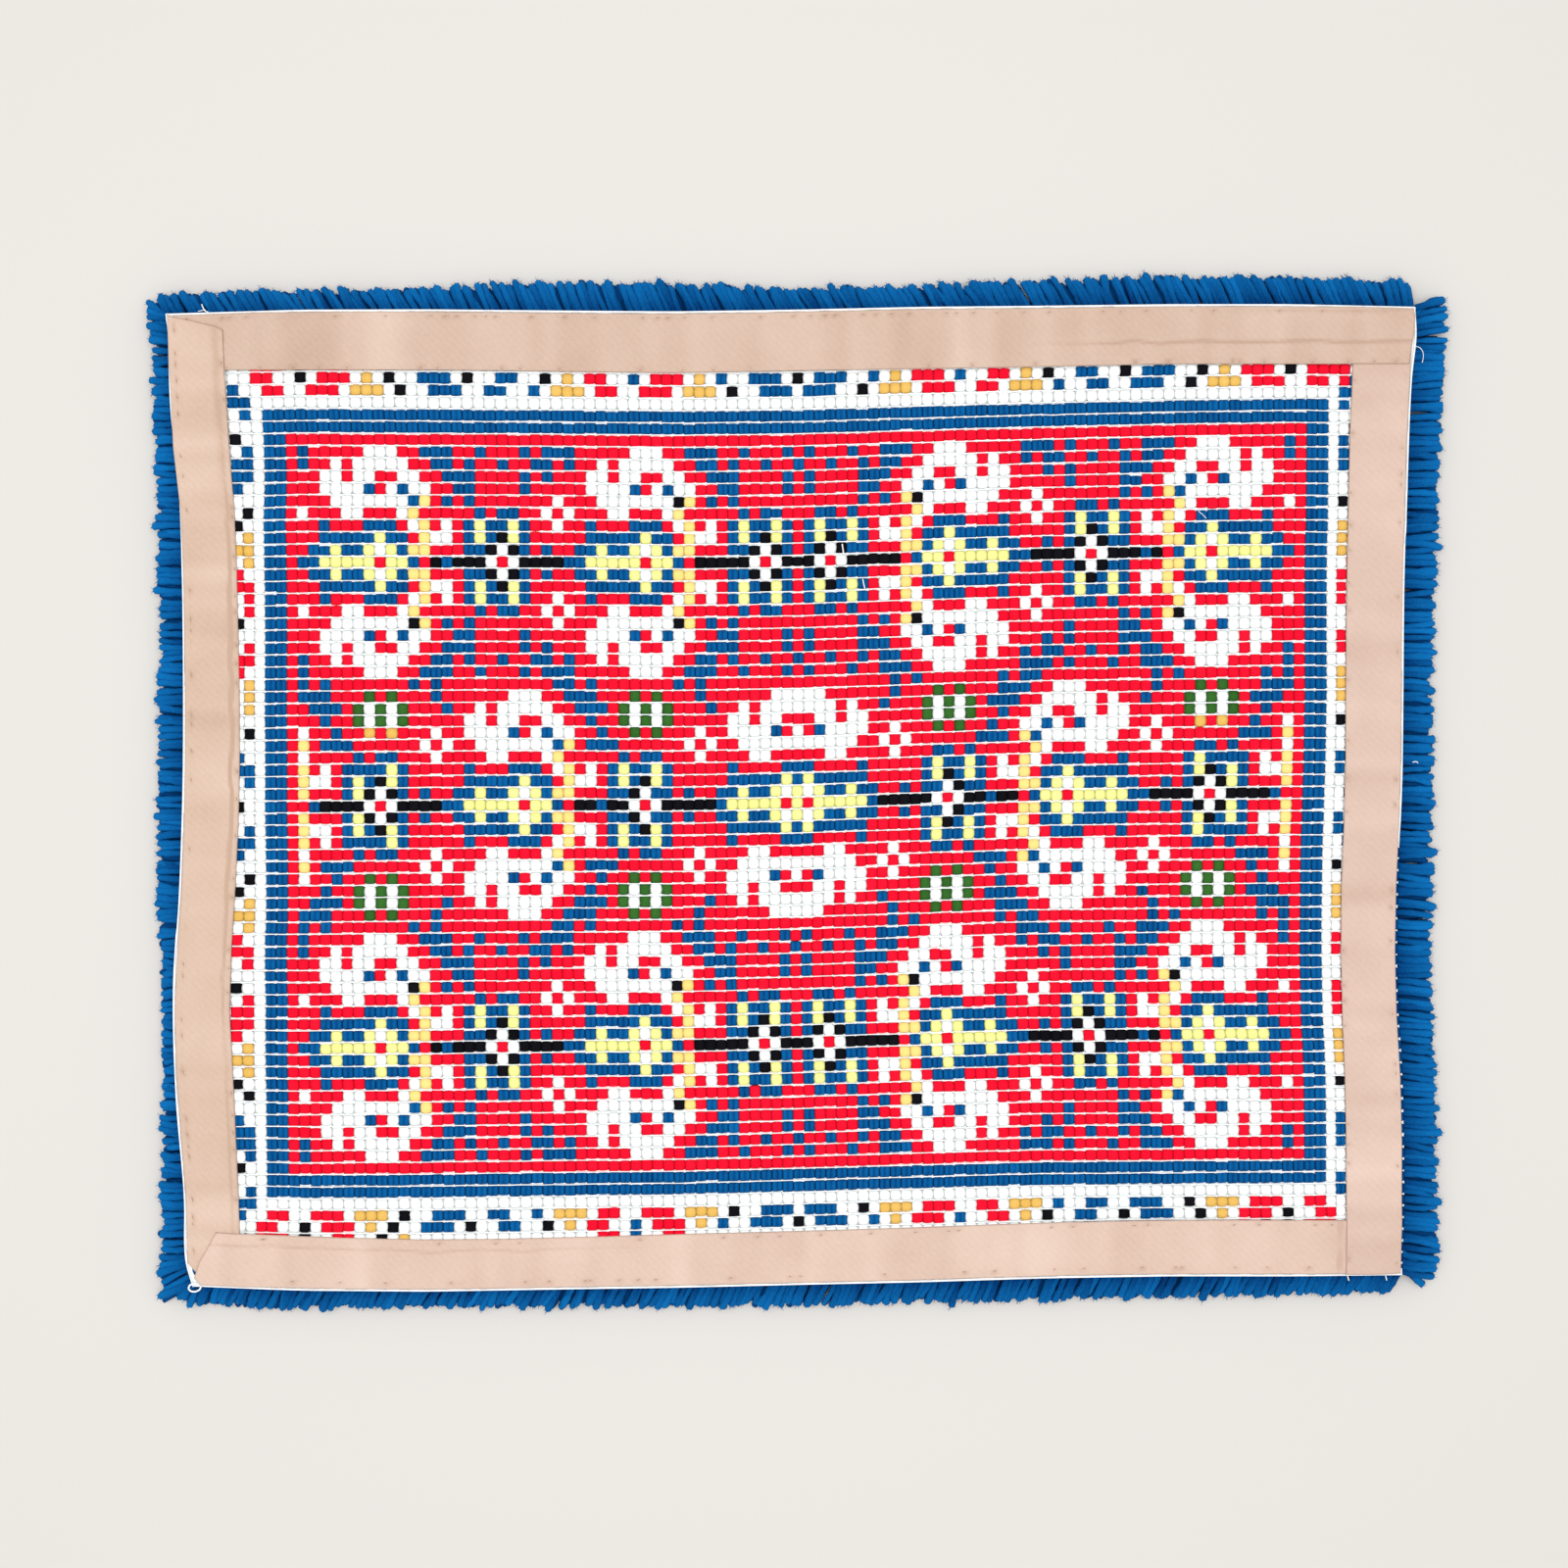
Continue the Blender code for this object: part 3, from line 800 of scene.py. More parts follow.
def weft(row, first, last):
    """One run of thread along a line of the chart: a prism with a flat top and sloping sides."""
    places = np.arange(first, last + 0.01, 1.0)
    wave = chance.normal(0, 0.015, len(places))
    width = WEFT_WIDTH / 2 * chance.normal(1, 0.1, len(places))
    rim = []
    corners = (-1, WEFT_FOOT), (1, WEFT_FOOT), (FLAT_SHARE, WEFT_TOP), (-FLAT_SHARE, WEFT_TOP)
    for shift, height in corners:
        x, y = lie(places, row + wave + shift * width)
        rim.append(np.stack([x, y, np.full_like(places, height)], axis=-1))
    points = np.stack(rim, axis=1)
    index = np.arange(points.shape[0] * points.shape[1]).reshape(-1, points.shape[1])
    turned = np.roll(index, -1, axis=1)
    quads = np.stack([index[:-1], turned[:-1], turned[1:], index[1:]], axis=-1).reshape(-1, 4)
    caps = np.stack([index[0, ::-1], index[-1]])
    return points.reshape(-1, 3), [quads, caps], np.zeros(index.size)


runs = []
for row in range(-HIDDEN_RING, FIELD_ROWS + HIDDEN_RING + 1):
    place = -HIDDEN_RING
    while place < FIELD_COLUMNS + HIDDEN_RING:
        run_end = min(place + int(chance.geometric(BREAK_SHARE)), FIELD_COLUMNS + HIDDEN_RING)
        if run_end > place:
            runs.append(weft(row, place, run_end))
        place = run_end + 1
points, faces, tone = join(runs)
weft_threads = make_piece(
    "weft_threads", points, faces, canvas_cotton, "canvas", tone, smooth=False
)

# %% [markdown]
# The canvas was trimmed and folded before the tape went on. Its folded edge shows as a thin white
# line outside the tape. In a few places the fold has slipped under: there the ends of the
# crosswise threads show instead, one short white tick for each row of knots.

# %% The folded edge and the thread ends
EDGE_RADIUS = 0.43 * MM
EDGE_HEIGHT = 16.0 * MM
TICK_RADIUS = 0.25 * MM
# runs of the folded edge that show: side, from and to along it in columns or rows
FOLDED_EDGE = (
    ("top", -8, 77.5), ("top", 85, 105), ("bottom", -8, 105),
    ("left", -8, 22.5), ("left", 33, 73), ("right", -8, 12), ("right", 22.5, 37),
)


def outer_place(side, along, inset):
    """A place on the chart at a side's edge, inset by a share of a knot."""
    along = np.asarray(along, float)
    far = {"left": -BORDER_KNOTS + inset, "right": FIELD_COLUMNS + BORDER_KNOTS - inset,
           "top": -BORDER_KNOTS + inset, "bottom": FIELD_ROWS + BORDER_KNOTS - inset}[side]
    fixed = np.full_like(along, far)
    return (along, fixed) if side in ("top", "bottom") else (fixed, along)


parts = []
for side, first, last in FOLDED_EDGE:
    along = np.linspace(first, last, max(int((last - first) * 1.5), 4))
    x, y = lie(*outer_place(side, along, 0.14 + chance.normal(0, 0.025, len(along))))
    z = EDGE_HEIGHT + chance.normal(0, 0.08, len(along)) * MM
    radius = EDGE_RADIUS * (1 + chance.normal(0, 0.16, (1, len(along))))
    points, faces = tubes(np.stack([x, y, z], axis=-1)[None], radius, 6)
    parts.append((points, faces, np.zeros(len(points))))
for side, first, last in (("left", 23, 33), ("right", 13, 22), ("right", 38, 73)):
    for row in range(first, last):
        columns, rows = outer_place(side, [row, row], 0)
        inward = 1 if side == "left" else -1
        x, y = lie(columns + inward * np.array([0.95, 0.03]), rows)
        z = np.array([16.6, 16.1]) * MM
        path = np.stack([x, y, z], axis=-1)[None]
        points, faces = tubes(path, np.full((1, 2), TICK_RADIUS), 5)
        parts.append((points, faces, np.zeros(len(points))))
points, faces, tone = join(parts)
canvas_edge = make_piece("canvas_edge", points, faces, canvas_cotton, "canvas", tone)

# %% [markdown]
# ## The binding tape
#
# Cotton twill tape, about 38 mm wide, unbleached and a little pink, was sewn over the raw edge
# by hand. It is woven in fine diagonal lines and is quite matt. The four strips overlap at the
# corners like the flaps of a box. Each follows the line of its CAD node, which this script reads
# from the node's own points, and gets the soft waves, the dimples of the stitches and a hem.

# %% Twill tape, woven and left unbleached
TWILL_PITCH = 1.3 * MM
# the real twill lines are about half a millimetre apart, drawn coarser so that they show


def twill_tape(name, light, dark):
    """Cotton twill, undyed: matt, with slanting ribs, a soft unevenness along the strip and painted shade
    from its tone.
    """
    material, tree, shader = new_material(name, roughness=0.9, specular=0.15, sheen=0.05)
    place = add_node(tree, "ShaderNodeTexCoord")
    ribs = add_node(tree, "ShaderNodeTexWave", {
        "Vector": place.outputs["Object"], "Scale": 1 / TWILL_PITCH / 2 / math.pi, "Distortion": 0.6,
        "Detail": 1.0,
    }, bands_direction="DIAGONAL")
    threads = add_node(tree, "ShaderNodeTexNoise", {
        "Vector": place.outputs["Object"], "Scale": 420.0, "Detail": 3.0, "Roughness": 0.6,
    })
    patches = add_node(tree, "ShaderNodeTexNoise", {
        "Vector": place.outputs["Object"], "Scale": 22.0, "Detail": 2.0,
    })
    tone = add_node(tree, "ShaderNodeAttribute", attribute_name="tone")
    woven = add_node(tree, "ShaderNodeMath", {
        0: ribs.outputs["Fac"], 1: 0.07, 2: tone.outputs["Fac"],
    }, operation="MULTIPLY_ADD")
    flecked = add_node(tree, "ShaderNodeMath", {
        0: threads.outputs["Fac"], 1: 0.4, 2: woven.outputs[0],
    }, operation="MULTIPLY_ADD")
    blend = add_node(tree, "ShaderNodeMath", {
        0: patches.outputs["Fac"], 1: 0.7, 2: flecked.outputs[0],
    }, operation="MULTIPLY_ADD", use_clamp=True)
    cloth = add_node(tree, "ShaderNodeMix", {
        MIX_FACTOR: blend.outputs[0], MIX_FIRST: linear(dark), MIX_SECOND: linear(light),
    }, data_type="RGBA")
    relief = add_node(tree, "ShaderNodeBump", {
        "Strength": 0.12, "Distance": 0.2 * MM, "Height": ribs.outputs["Fac"],
    })
    tree.links.new(cloth.outputs[MIX_RESULT], shader.inputs["Base Color"])
    tree.links.new(relief.outputs[0], shader.inputs["Normal"])
    return material


# side: light and dark of its cotton, which differ partly in the cotton's own tint and partly as
# painted light: lighter at the bottom and right, darker at the top
TAPE_TINT_AND_LIGHT = {
    "top": ("#D9C1B0", "#BD9F8C"),
    "right": ("#E0C6B8", "#C6A999"),
    "bottom": ("#E2C9B9", "#C8AA99"),
    "left": ("#DEC5B4", "#C2A48F"),
}
tape_tint_and_light = {side: twill_tape("tape_tint_and_light_" + side, *pair) for side, pair in TAPE_TINT_AND_LIGHT.items()}

# %% Reading a strip's lines from its CAD node
OUTWARD = {"top": (1, 1), "bottom": (1, -1), "left": (0, -1), "right": (0, 1)}
SAME_PLACE = 0.05 * MM
NARROWEST = 30.0 * MM


def strip_lines(side):
    """The lines of a strip: along it, its outer and inner edge, its underside, and its two ends."""
    across_axis, sign = OUTWARD[side]
    points = np.array([v.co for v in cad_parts["binding_" + side].data.vertices])
    along = points[:, 1 - across_axis]
    off = points[:, across_axis] * sign
    order = np.sort(along)
    starts = order[np.concatenate([[True], np.diff(order) > SAME_PLACE])]
    group_of = np.searchsorted(starts, along, side="right")
    level = [g for g in np.unique(group_of) if np.ptp(off[group_of == g]) > NARROWEST]
    groups = [group_of == g for g in level]
    if (group_of < level[0]).any():
        groups.insert(0, group_of < level[0])
    if (group_of > level[-1]).any():
        groups.append(group_of > level[-1])
    lines = []
    for group in groups:
        outer = np.argmax(off[group])
        inner = np.argmin(off[group])
        lines.append((
            along[group][outer], off[group][outer], along[group][inner], off[group][inner],
            points[group][:, 2].min(),
        ))
    lines = np.array(lines)
    ends = []
    for group, line in ((groups[0], lines[0]), (groups[-1], lines[-1])):
        share = (line[1] - off[group]) / (line[1] - line[3])
        order = np.argsort(share)
        ends.append((share[order], along[group][order]))
    return lines, ends


for side in OUTWARD:
    lines, ends = strip_lines(side)
    print(side, "stations:", len(lines), "width in mm:", np.round((lines[:, 1] - lines[:, 3]) / MM, 1)[:4])

# %% Making a strip
STRIP_THICKNESS = 1.0 * MM
STRIP_STEP = 2.4 * MM
DIMPLE_DEPTH = 0.3 * MM
DIMPLE_SIZE = 1.3 * MM
KNOT_RIPPLE = 0.07 * MM
STRIP_REACH = 450
# side: its seams, each with its edge, how far in from it, the pitch and a stitch's length, all in mm
SEAMS = {
    "top": (("outer", 3.2, 8.6, 2.2), ("inner", 2.0, 13.0, 2.2)),
    "right": (("outer", 3.2, 13.0, 2.0), ("inner", 1.8, 14.0, 2.0)),
    "bottom": (("outer", 3.6, 11.0, 2.6), ("inner", 2.2, 11.5, 2.8)),
    "left": (("outer", 4.2, 8.6, 3.6), ("inner", 1.9, 11.0, 3.0)),
}


def along_steps(length, step):
    """Places along a length, closer together at both ends, for a rounded edge."""
    inner = np.linspace(1.3 * MM, length - 1.3 * MM, max(int(length / step), 2))
    return np.concatenate([[0, 0.45 * MM], inner, [length - 0.45 * MM, length]])


def wander(step, size):
    """A slow random line: returns a function that reads it at any place along a strip."""
    stations = np.arange(-STRIP_REACH, STRIP_REACH + step, step) * MM
    values = chance.normal(0, size, len(stations))
    return lambda along: np.interp(along, stations, values)


def sew(pitch):
    """Stitches along a seam, none too even: their places along it and how tight each one is."""
    count = int(2 * STRIP_REACH / pitch)
    places = (np.arange(count) + chance.normal(0, 0.27, count)) * pitch * MM - STRIP_REACH * MM
    return np.sort(places), chance.uniform(0, 1, count) ** 2


def nearest_stitch(along, places, strength):
    """How far the nearest stitch is along the seam, and how tight it is."""
    found = np.clip(np.searchsorted((places[1:] + places[:-1]) / 2, along), 0, len(places) - 1)
    return along - places[found], strength[found]


sewn = {side: [sew(pitch) for edge, inset, pitch, length in SEAMS[side]] for side in SEAMS}


def stitch_pull(side, along, from_outer, from_inner):
    """How far the stitches pull the cloth down at each place, from 0 to 1."""
    pull = np.zeros_like(along)
    for (edge, inset, pitch, length), stitches_there in zip(SEAMS[side], sewn[side]):
        off = (from_outer if edge == "outer" else from_inner) - inset * MM
        away, strength = nearest_stitch(along, *stitches_there)
        spread = DIMPLE_SIZE + length / 3 * MM
        pull += strength * np.exp(-(off / DIMPLE_SIZE) ** 2 - (away / spread) ** 2)
    return pull


def rounded_edge(distance):
    """How much of its thickness the tape has at this distance from its folded edge."""
    return np.sqrt(np.clip(1 - (1 - np.clip(distance / (1.3 * MM), 0, 1)) ** 2, 0, 1))


def lay_strip(side, relief, shade):
    """A strip of tape. relief and shade give its raised parts and its tone from place and share."""
    across_axis, sign = OUTWARD[side]
    lines, ends = strip_lines(side)
    length = lines[-1, 0] - lines[0, 0]
    width = float(np.mean(lines[:, 1] - lines[:, 3]))
    a = along_steps(length, STRIP_STEP) / length
    b = along_steps(width, 1.5 * MM) / width
    a, b = np.meshgrid(a, b, indexing="ij")
    first = np.interp(b, *ends[0])
    last = np.interp(b, *ends[1])
    along = first + (last - first) * a
    outer = np.interp(along, lines[:, 0], lines[:, 1])
    inner = np.interp(along, lines[:, 2], lines[:, 3])
    from_outer = b * (outer - inner)
    from_inner = (1 - b) * (outer - inner)
    from_end = np.minimum(along - first, last - along)
    nearest_side = np.minimum(from_outer, from_inner)
    thickness = STRIP_THICKNESS * np.minimum(rounded_edge(nearest_side), rounded_edge(from_end))
    under = np.interp(along, (lines[:, 0] + lines[:, 2]) / 2, lines[:, 4])
    rise = relief(along, from_outer, from_inner)
    ripple = KNOT_RIPPLE * np.cos(along / knot_width * math.pi) * np.cos(from_outer / knot_height * math.pi)
    z = under + thickness + (rise + ripple) * (thickness / STRIP_THICKNESS)
    pull = stitch_pull(side, along, from_outer, from_inner)
    z -= DIMPLE_DEPTH * pull * (thickness / STRIP_THICKNESS)
    off = sign * (outer + (inner - outer) * b)
    x, y = (along, off) if across_axis == 1 else (off, along)
    points = np.stack([x, y, z], axis=-1).reshape(-1, 3)
    # painted shade in the stitch dimples and along the strip's folded ends
    tone = shade(along, from_outer, from_inner) - STITCH_SHADE * pull
    tone -= TAPE_END_SHADE * np.exp(-(from_end / (0.7 * MM)) ** 2)
    quads, ring = grid_faces(b.shape[1], b.shape[0])
    index = np.arange(b.size).reshape(b.shape)
    middle = np.stack([index[1:-2, 0], index[1:-2, -1], index[2:-1, -1], index[2:-1, 0]], axis=-1)
    first_end = np.concatenate([index[1:2, 0], index[0, :], index[1:2, -1]])[None]
    last_end = np.concatenate([index[-2:-1, 0], index[-1, :], index[-2:-1, -1]])[None, ::-1]
    faces = [quads, middle, first_end, last_end]
    strip = make_piece(
        "tape_" + side, points, faces, tape_tint_and_light[side], "binding_" + side,
        tone.ravel(),
    )
    heights = (along, from_outer, from_inner, z, x, y)
    return strip, length, width, heights


# painted shade: how much darker the tape is painted in its stitch dimples and at its folded ends
STITCH_SHADE = 0.85
TAPE_END_SHADE = 0.5
CREASE = 0.35 * MM
# side: its long creases, each with its distance from the inner edge, width, shade, the place along
# the strip where it is deepest and how far it runs from there, all lengths in mm
CREASES = {
    "top": ((14.0, 1.0, 0.7, 300.0, 130.0), (33.0, 1.0, 0.3, 330.0, 60.0)),
    "right": (),
    "bottom": ((7.0, 0.8, 0.45, -270.0, 150.0),),
    "left": (
        (4.6, 0.7, 2.2, 40.0, 130.0), (4.2, 0.8, 0.45, -190.0, 110.0), (5.5, 2.2, 0.4, 250.0, 60.0),
    ),
}
# side: folds that run across the strip, each with its place, bend, width and shade, lengths in mm
FOLDS_ACROSS = {"top": (), "right": (), "left": (), "bottom": ((333.0, 2.0, 0.7, 1.3),)}
# side: how high the hem along its inner edge stands, in mm
HEMS = {"top": 0.0, "right": 0.0, "bottom": 0.25, "left": 0.35}


def strip_looks(side):
    """Two functions of the place on a strip: how high its creases and hem stand, and their tone."""
    stray = wander(14, 0.6 * MM)
    broad = wander(31, 0.06)
    narrow = wander(9, 0.09)

    def depth(along, from_inner):
        total = np.zeros_like(along)
        for inset, width, strength, deepest, run in CREASES[side]:
            line = (from_inner - inset * MM - stray(along)) / (width * MM)
            total += strength * np.exp(-line ** 2 - ((along / MM - deepest) / run) ** 4)
        for place, bend, width, strength in FOLDS_ACROSS[side]:
            line = (along / MM - place - bend * (1 - from_inner / (16 * MM)) ** 2) / width
            total += strength * np.exp(-line ** 2)
        return total

    def relief(along, from_outer, from_inner):
        hem = HEMS[side] * MM * np.exp(-((from_inner - 2.0 * MM) / (1.8 * MM)) ** 2)
        return hem - CREASE * depth(along, from_inner)

    def shade(along, from_outer, from_inner):
        # random bands along the strip, less painted shade in its creases and folds and a small overall
        # darkening
        return broad(along) + narrow(along) - depth(along, from_inner) - 0.12

    return relief, shade


strips = {side: lay_strip(side, *strip_looks(side)) for side in OUTWARD}

# %% [markdown]
# ## Hand stitches
#
# A sewing needle left small slanting stitches of tan thread, sunk in the tape where it was pulled
# tight. They are short tubes, thinner at both ends where the thread goes down into the cloth.

# %% Sewing thread and the stitches
def spun_thread(name, light, dark):
    """Polyester sewing thread: slightly glossy, with the twist of its two plies."""
    material, tree, shader = new_material(name, roughness=0.6, specular=0.35)
    place = add_node(tree, "ShaderNodeTexCoord")
    twist = add_node(tree, "ShaderNodeTexWave", {
        "Vector": place.outputs["Object"], "Scale": 900.0, "Distortion": 2.0,
    }, bands_direction="DIAGONAL")
    blend = add_node(tree, "ShaderNodeMix", {
        MIX_FACTOR: twist.outputs["Fac"], MIX_FIRST: linear(dark), MIX_SECOND: linear(light),
    }, data_type="RGBA")
    tree.links.new(blend.outputs[MIX_RESULT], shader.inputs["Base Color"])
    return material


tan_thread = spun_thread("sewing_thread_tan", "#C4A48F", "#A3836D")
STITCH_RADIUS = 0.25 * MM
LOOSEST_SEEN = 0.3
STITCH_RINGS = np.array([-1, -0.55, 0.55, 1]) / 2
for side, (strip, length, width, (along, from_outer, from_inner, z, x, y)) in strips.items():
    seam_points, lengths = [], []
    for (edge, inset, pitch, stitch_length), (places, strength) in zip(SEAMS[side], sewn[side]):
        distances = (from_outer if edge == "outer" else from_inner)[len(along) // 2]
        column = int(np.argmin(np.abs(distances - inset * MM)))
        line = along[:, column]
        order = np.argsort(line)
        seen = places[
            (places > line.min() + 6 * MM) & (places < line.max() - 6 * MM) & (strength > LOOSEST_SEEN)
        ]
        seam_points.append(np.stack(
            [np.interp(seen, line[order], values[:, column][order]) for values in (x, y, z)], axis=-1
        ))
        lengths.append(np.full(len(seen), stitch_length * MM))
    seam_points = np.concatenate(seam_points)
    slant = chance.normal(0.2, 0.18, len(seam_points))
    reach = np.concatenate(lengths) * chance.uniform(0.6, 1.1, len(seam_points))
    run = np.array([1.0, 0.0]) if OUTWARD[side][0] == 1 else np.array([0.0, 1.0])
    way = np.stack([
        run[0] * np.cos(slant) - run[1] * np.sin(slant), run[0] * np.sin(slant) + run[1] * np.cos(slant)
    ], axis=-1)
    path = seam_points[:, None].repeat(len(STITCH_RINGS), axis=1)
    path[:, :, :2] += way[:, None] * (reach[:, None] * STITCH_RINGS)[..., None]
    path[:, :, 2] += (0.06 - 0.45 * (STITCH_RINGS * 2) ** 4)[None] * MM
    radii = np.full(path.shape[:2], STITCH_RADIUS) * np.array([0.5, 1, 1, 0.5])
    points, faces = tubes(path, radii, 4)
    make_piece("stitches_" + side, points, faces, tan_thread)

# %% [markdown]
# ## The cut pile
#
# Each knot leaves two cut ends on the front of the rug, about 30 mm of yarn bent under its weight.
# Round the rim they lie out sideways as a fringe of plump plied strands. Under the rug they stand
# packed together, in the colours of the chart, and are seen only when the rug is turned over.
# The fringe gets round strands with the twist of the plies, and a few loose fibres at their cut
# tips. The tufts below are three-sided, because there are over eighteen thousand of them.

# %% Wool of the fringe
# the same blue yarn in both layers: the lower layer's darker copy is painted shade under the upper strands
fringe_wool = {
    "upper": dyed_wool("fringe_wool_blue", "#0C70B6", "#00326A", streak=1.0),
    "lower": dyed_wool("fringe_wool_blue_shaded", "#064C8C", "#00244E", streak=0.9),
}
# how far from the rug's middle the tips lie, in millimetres: station from the left or top, tips
PILE_TIPS = {
    "top": (
        (0, 313.0), (0.07, 314.0), (0.2, 316.0), (0.3, 319.5), (0.4, 320.0), (0.5, 316.0),
        (0.6, 316.5), (0.7, 320.5), (0.8, 323.5), (0.93, 323.0), (1, 321.0),
    ),
    "bottom": (
        (0, 315.0), (0.07, 319.0), (0.2, 317.5), (0.3, 318.0), (0.4, 317.5), (0.5, 317.5),
        (0.6, 315.5), (0.7, 314.0), (0.8, 312.0), (0.93, 309.5), (1, 308.5),
    ),
    "left": (
        (0, 404.0), (0.06, 402.0), (0.13, 401.0), (0.21, 400.5), (0.3, 398.5), (0.4, 399.0),
        (0.5, 400.5), (0.6, 399.0), (0.7, 396.5), (0.8, 396.0), (0.9, 397.5), (0.97, 398.0),
        (1, 398.0),
    ),
    "right": (
        (0, 403.0), (0.03, 402.5), (0.07, 402.0), (0.13, 400.0), (0.21, 398.0), (0.3, 396.0),
        (0.4, 393.5), (0.5, 395.0), (0.6, 394.0), (0.7, 394.0), (0.8, 396.0), (0.9, 397.0),
        (1, 397.0),
    ),
}
# sideways lean of the strands, from the side's left or top end to its other end
LEAN = {"top": (-9.0, -7.0), "right": (2.0, -4.0), "bottom": (-7.0, -5.0), "left": (1.0, -1.0)}
# how much of their reach the strands fan out at a side's left or top end, and at its other end
FAN = {"top": (0.45, 0.0), "right": (0.35, 0.22), "bottom": (0.5, -0.35), "left": (0.5, 0.6)}
FAN_FROM = 26.0 * MM
ROOT_INSET = 7.0 * MM
STRAND_PITCH = 3.9 * MM
# strands that stand alone at a corner: its chart place, heading in degrees, reach in millimetres
CORNER_STRANDS = (
    ((-8, -8), 118, 16), ((-8, -8), 138, 17), ((-8, -8), 158, 16),
    ((-8, 73), 200, 18), ((-8, 73), 218, 17), ((-8, 73), 236, 16), ((-8, 73), 252, 16),
    ((105, -7.3), 38, 15), ((105, -6.9), 24, 18), ((105, 71.9), -45, 24), ((105, 71.0), -30, 19),
)

# %% The strands of the fringe
STRAND_SHARES = np.array([0, 0.16, 0.36, 0.54, 0.7, 0.84, 0.93, 0.98, 1])
STRAND_PROFILE = np.array([0.85, 0.95, 1.0, 1.05, 1.1, 1.15, 1.15, 1.0, 0.72])
# painted light and shade of each side's fringe: the top and bottom painted darker, the left and right a
# little lighter
SIDE_SHADE = {"top": -0.25, "right": 0.05, "bottom": -0.35, "left": 0.1}
FIBRES = 9
FIBRE_RADIUS = 0.17 * MM


def strand_roots(pitch):
    """Roots on the canvas edge, with what each strand needs: its way out, lean and reach."""
    found = []
    for side, (across_axis, sign) in OUTWARD.items():
        level = across_axis == 1
        knots_along = ALL_COLUMNS if level else ALL_ROWS
        whole = (canvas_high[0] - canvas_low[0]) if level else (canvas_high[1] - canvas_low[1])
        count = int(whole / pitch)
        station = (np.arange(count) + 0.5 + chance.normal(0, 0.12, count)) / count
        edge = np.stack(lie(*outer_place(side, station * knots_along - BORDER_KNOTS, 0)), axis=-1)
        off = (edge[:, across_axis] - (middle_y if level else middle_x)) * sign
        reach = read_table(PILE_TIPS[side], station) - off
        lean = np.interp(station, [0, 1], LEAN[side]) * MM
        for share, place, towards in zip(FAN[side], (station, 1 - station), (-1, 1)):
            fan = np.clip(1 - place * whole / FAN_FROM, 0, 1)
            way = towards if level else -towards
            lean = lean * (1 - fan) + way * abs(share) * reach * fan * np.sign(share or 1)
        out = np.zeros((count, 2))
        out[:, across_axis] = sign
        sideways = np.zeros((count, 2))
        sideways[:, 1 - across_axis] = 1
        found.append((edge, out, sideways, reach, lean, np.full(count, SIDE_SHADE[side])))
    for place, heading, length in CORNER_STRANDS:
        turn = math.radians(heading)
        out = np.array([[math.cos(turn), math.sin(turn)]])
        edge = np.array(lie(*place)).reshape(1, 2) - out * 2.0 * MM
        aside = out[:, ::-1] * (1, -1)
        found.append((edge, out, aside, np.array([length * MM]), np.zeros(1), np.zeros(1)))
    return [np.concatenate(values) for values in zip(*found)]


def fringe(name, pitch, sides, root_height, tip_height, reach_share, radius, material, ply, steps):
    """One layer of strands round the rim, from under the canvas to their blunt tips."""
    edge, out, sideways, reach, lean, side_shade = strand_roots(pitch)
    count = len(edge)
    shares, profile = STRAND_SHARES[steps], STRAND_PROFILE[steps]
    rings = len(shares)
    reach = (reach + chance.normal(0, 1.3, count) * MM) * reach_share
    lean = lean + chance.normal(0, 1.1, count) * MM
    bend = chance.normal(0, 0.8, count) * MM
    total = reach + ROOT_INSET
    start = root_height + chance.normal(0, 0.3, count) * MM
    finish = tip_height + chance.uniform(-1.2, 1.2, count) * MM
    path = np.zeros((count, rings, 3))
    side_move = lean[:, None] * (total[:, None] * shares - ROOT_INSET) / reach[:, None]
    side_move = side_move + bend[:, None] * np.sin(shares * math.pi)
    path[:, :, :2] = (
        (edge - out * ROOT_INSET)[:, None]
        + out[:, None] * (total[:, None] * shares)[..., None]
        + sideways[:, None] * side_move[..., None]
    )
    path[:, :, 2] = start[:, None] + (finish - start)[:, None] * shares ** 2.2
    plump = chance.normal(1, 0.09, (count, 1)) * chance.normal(1, 0.07, (count, rings))
    radii = radius * profile[None] * plump
    path[:, :, 2] = np.maximum(path[:, :, 2], radii * 1.1 + 0.05 * MM)
    points, faces = tubes(path, radii, sides, plies=3, ply_depth=ply, turns=0.9)
    points[:, :2] += chance.normal(0, 0.07 * radius, (len(points), 2))
    # each strand's random tone, the painted shade of its side, and painted shade that darkens it towards
    # its root under the canvas and lightens it towards its tip
    own = chance.normal(0, 0.22, (count, 1)) + side_shade[:, None] + (shares * 1.7 - 0.95)[None]
    strands = make_piece(
        name, points, faces, material, "pile", np.repeat(own.ravel(), sides)
    )
    return strands, path, radii


fringe_upper, upper_paths, upper_radii = fringe(
    "fringe_upper", STRAND_PITCH, 8, 11.6 * MM, 6.0 * MM, 0.97, 2.1 * MM, fringe_wool["upper"], 0.1,
    slice(None),
)
fringe_lower = fringe(
    "fringe_lower", STRAND_PITCH * 0.8, 6, 7.5 * MM, 2.6 * MM, 0.93, 2.1 * MM, fringe_wool["lower"],
    0.0, slice(None, None, 2),
)[0]


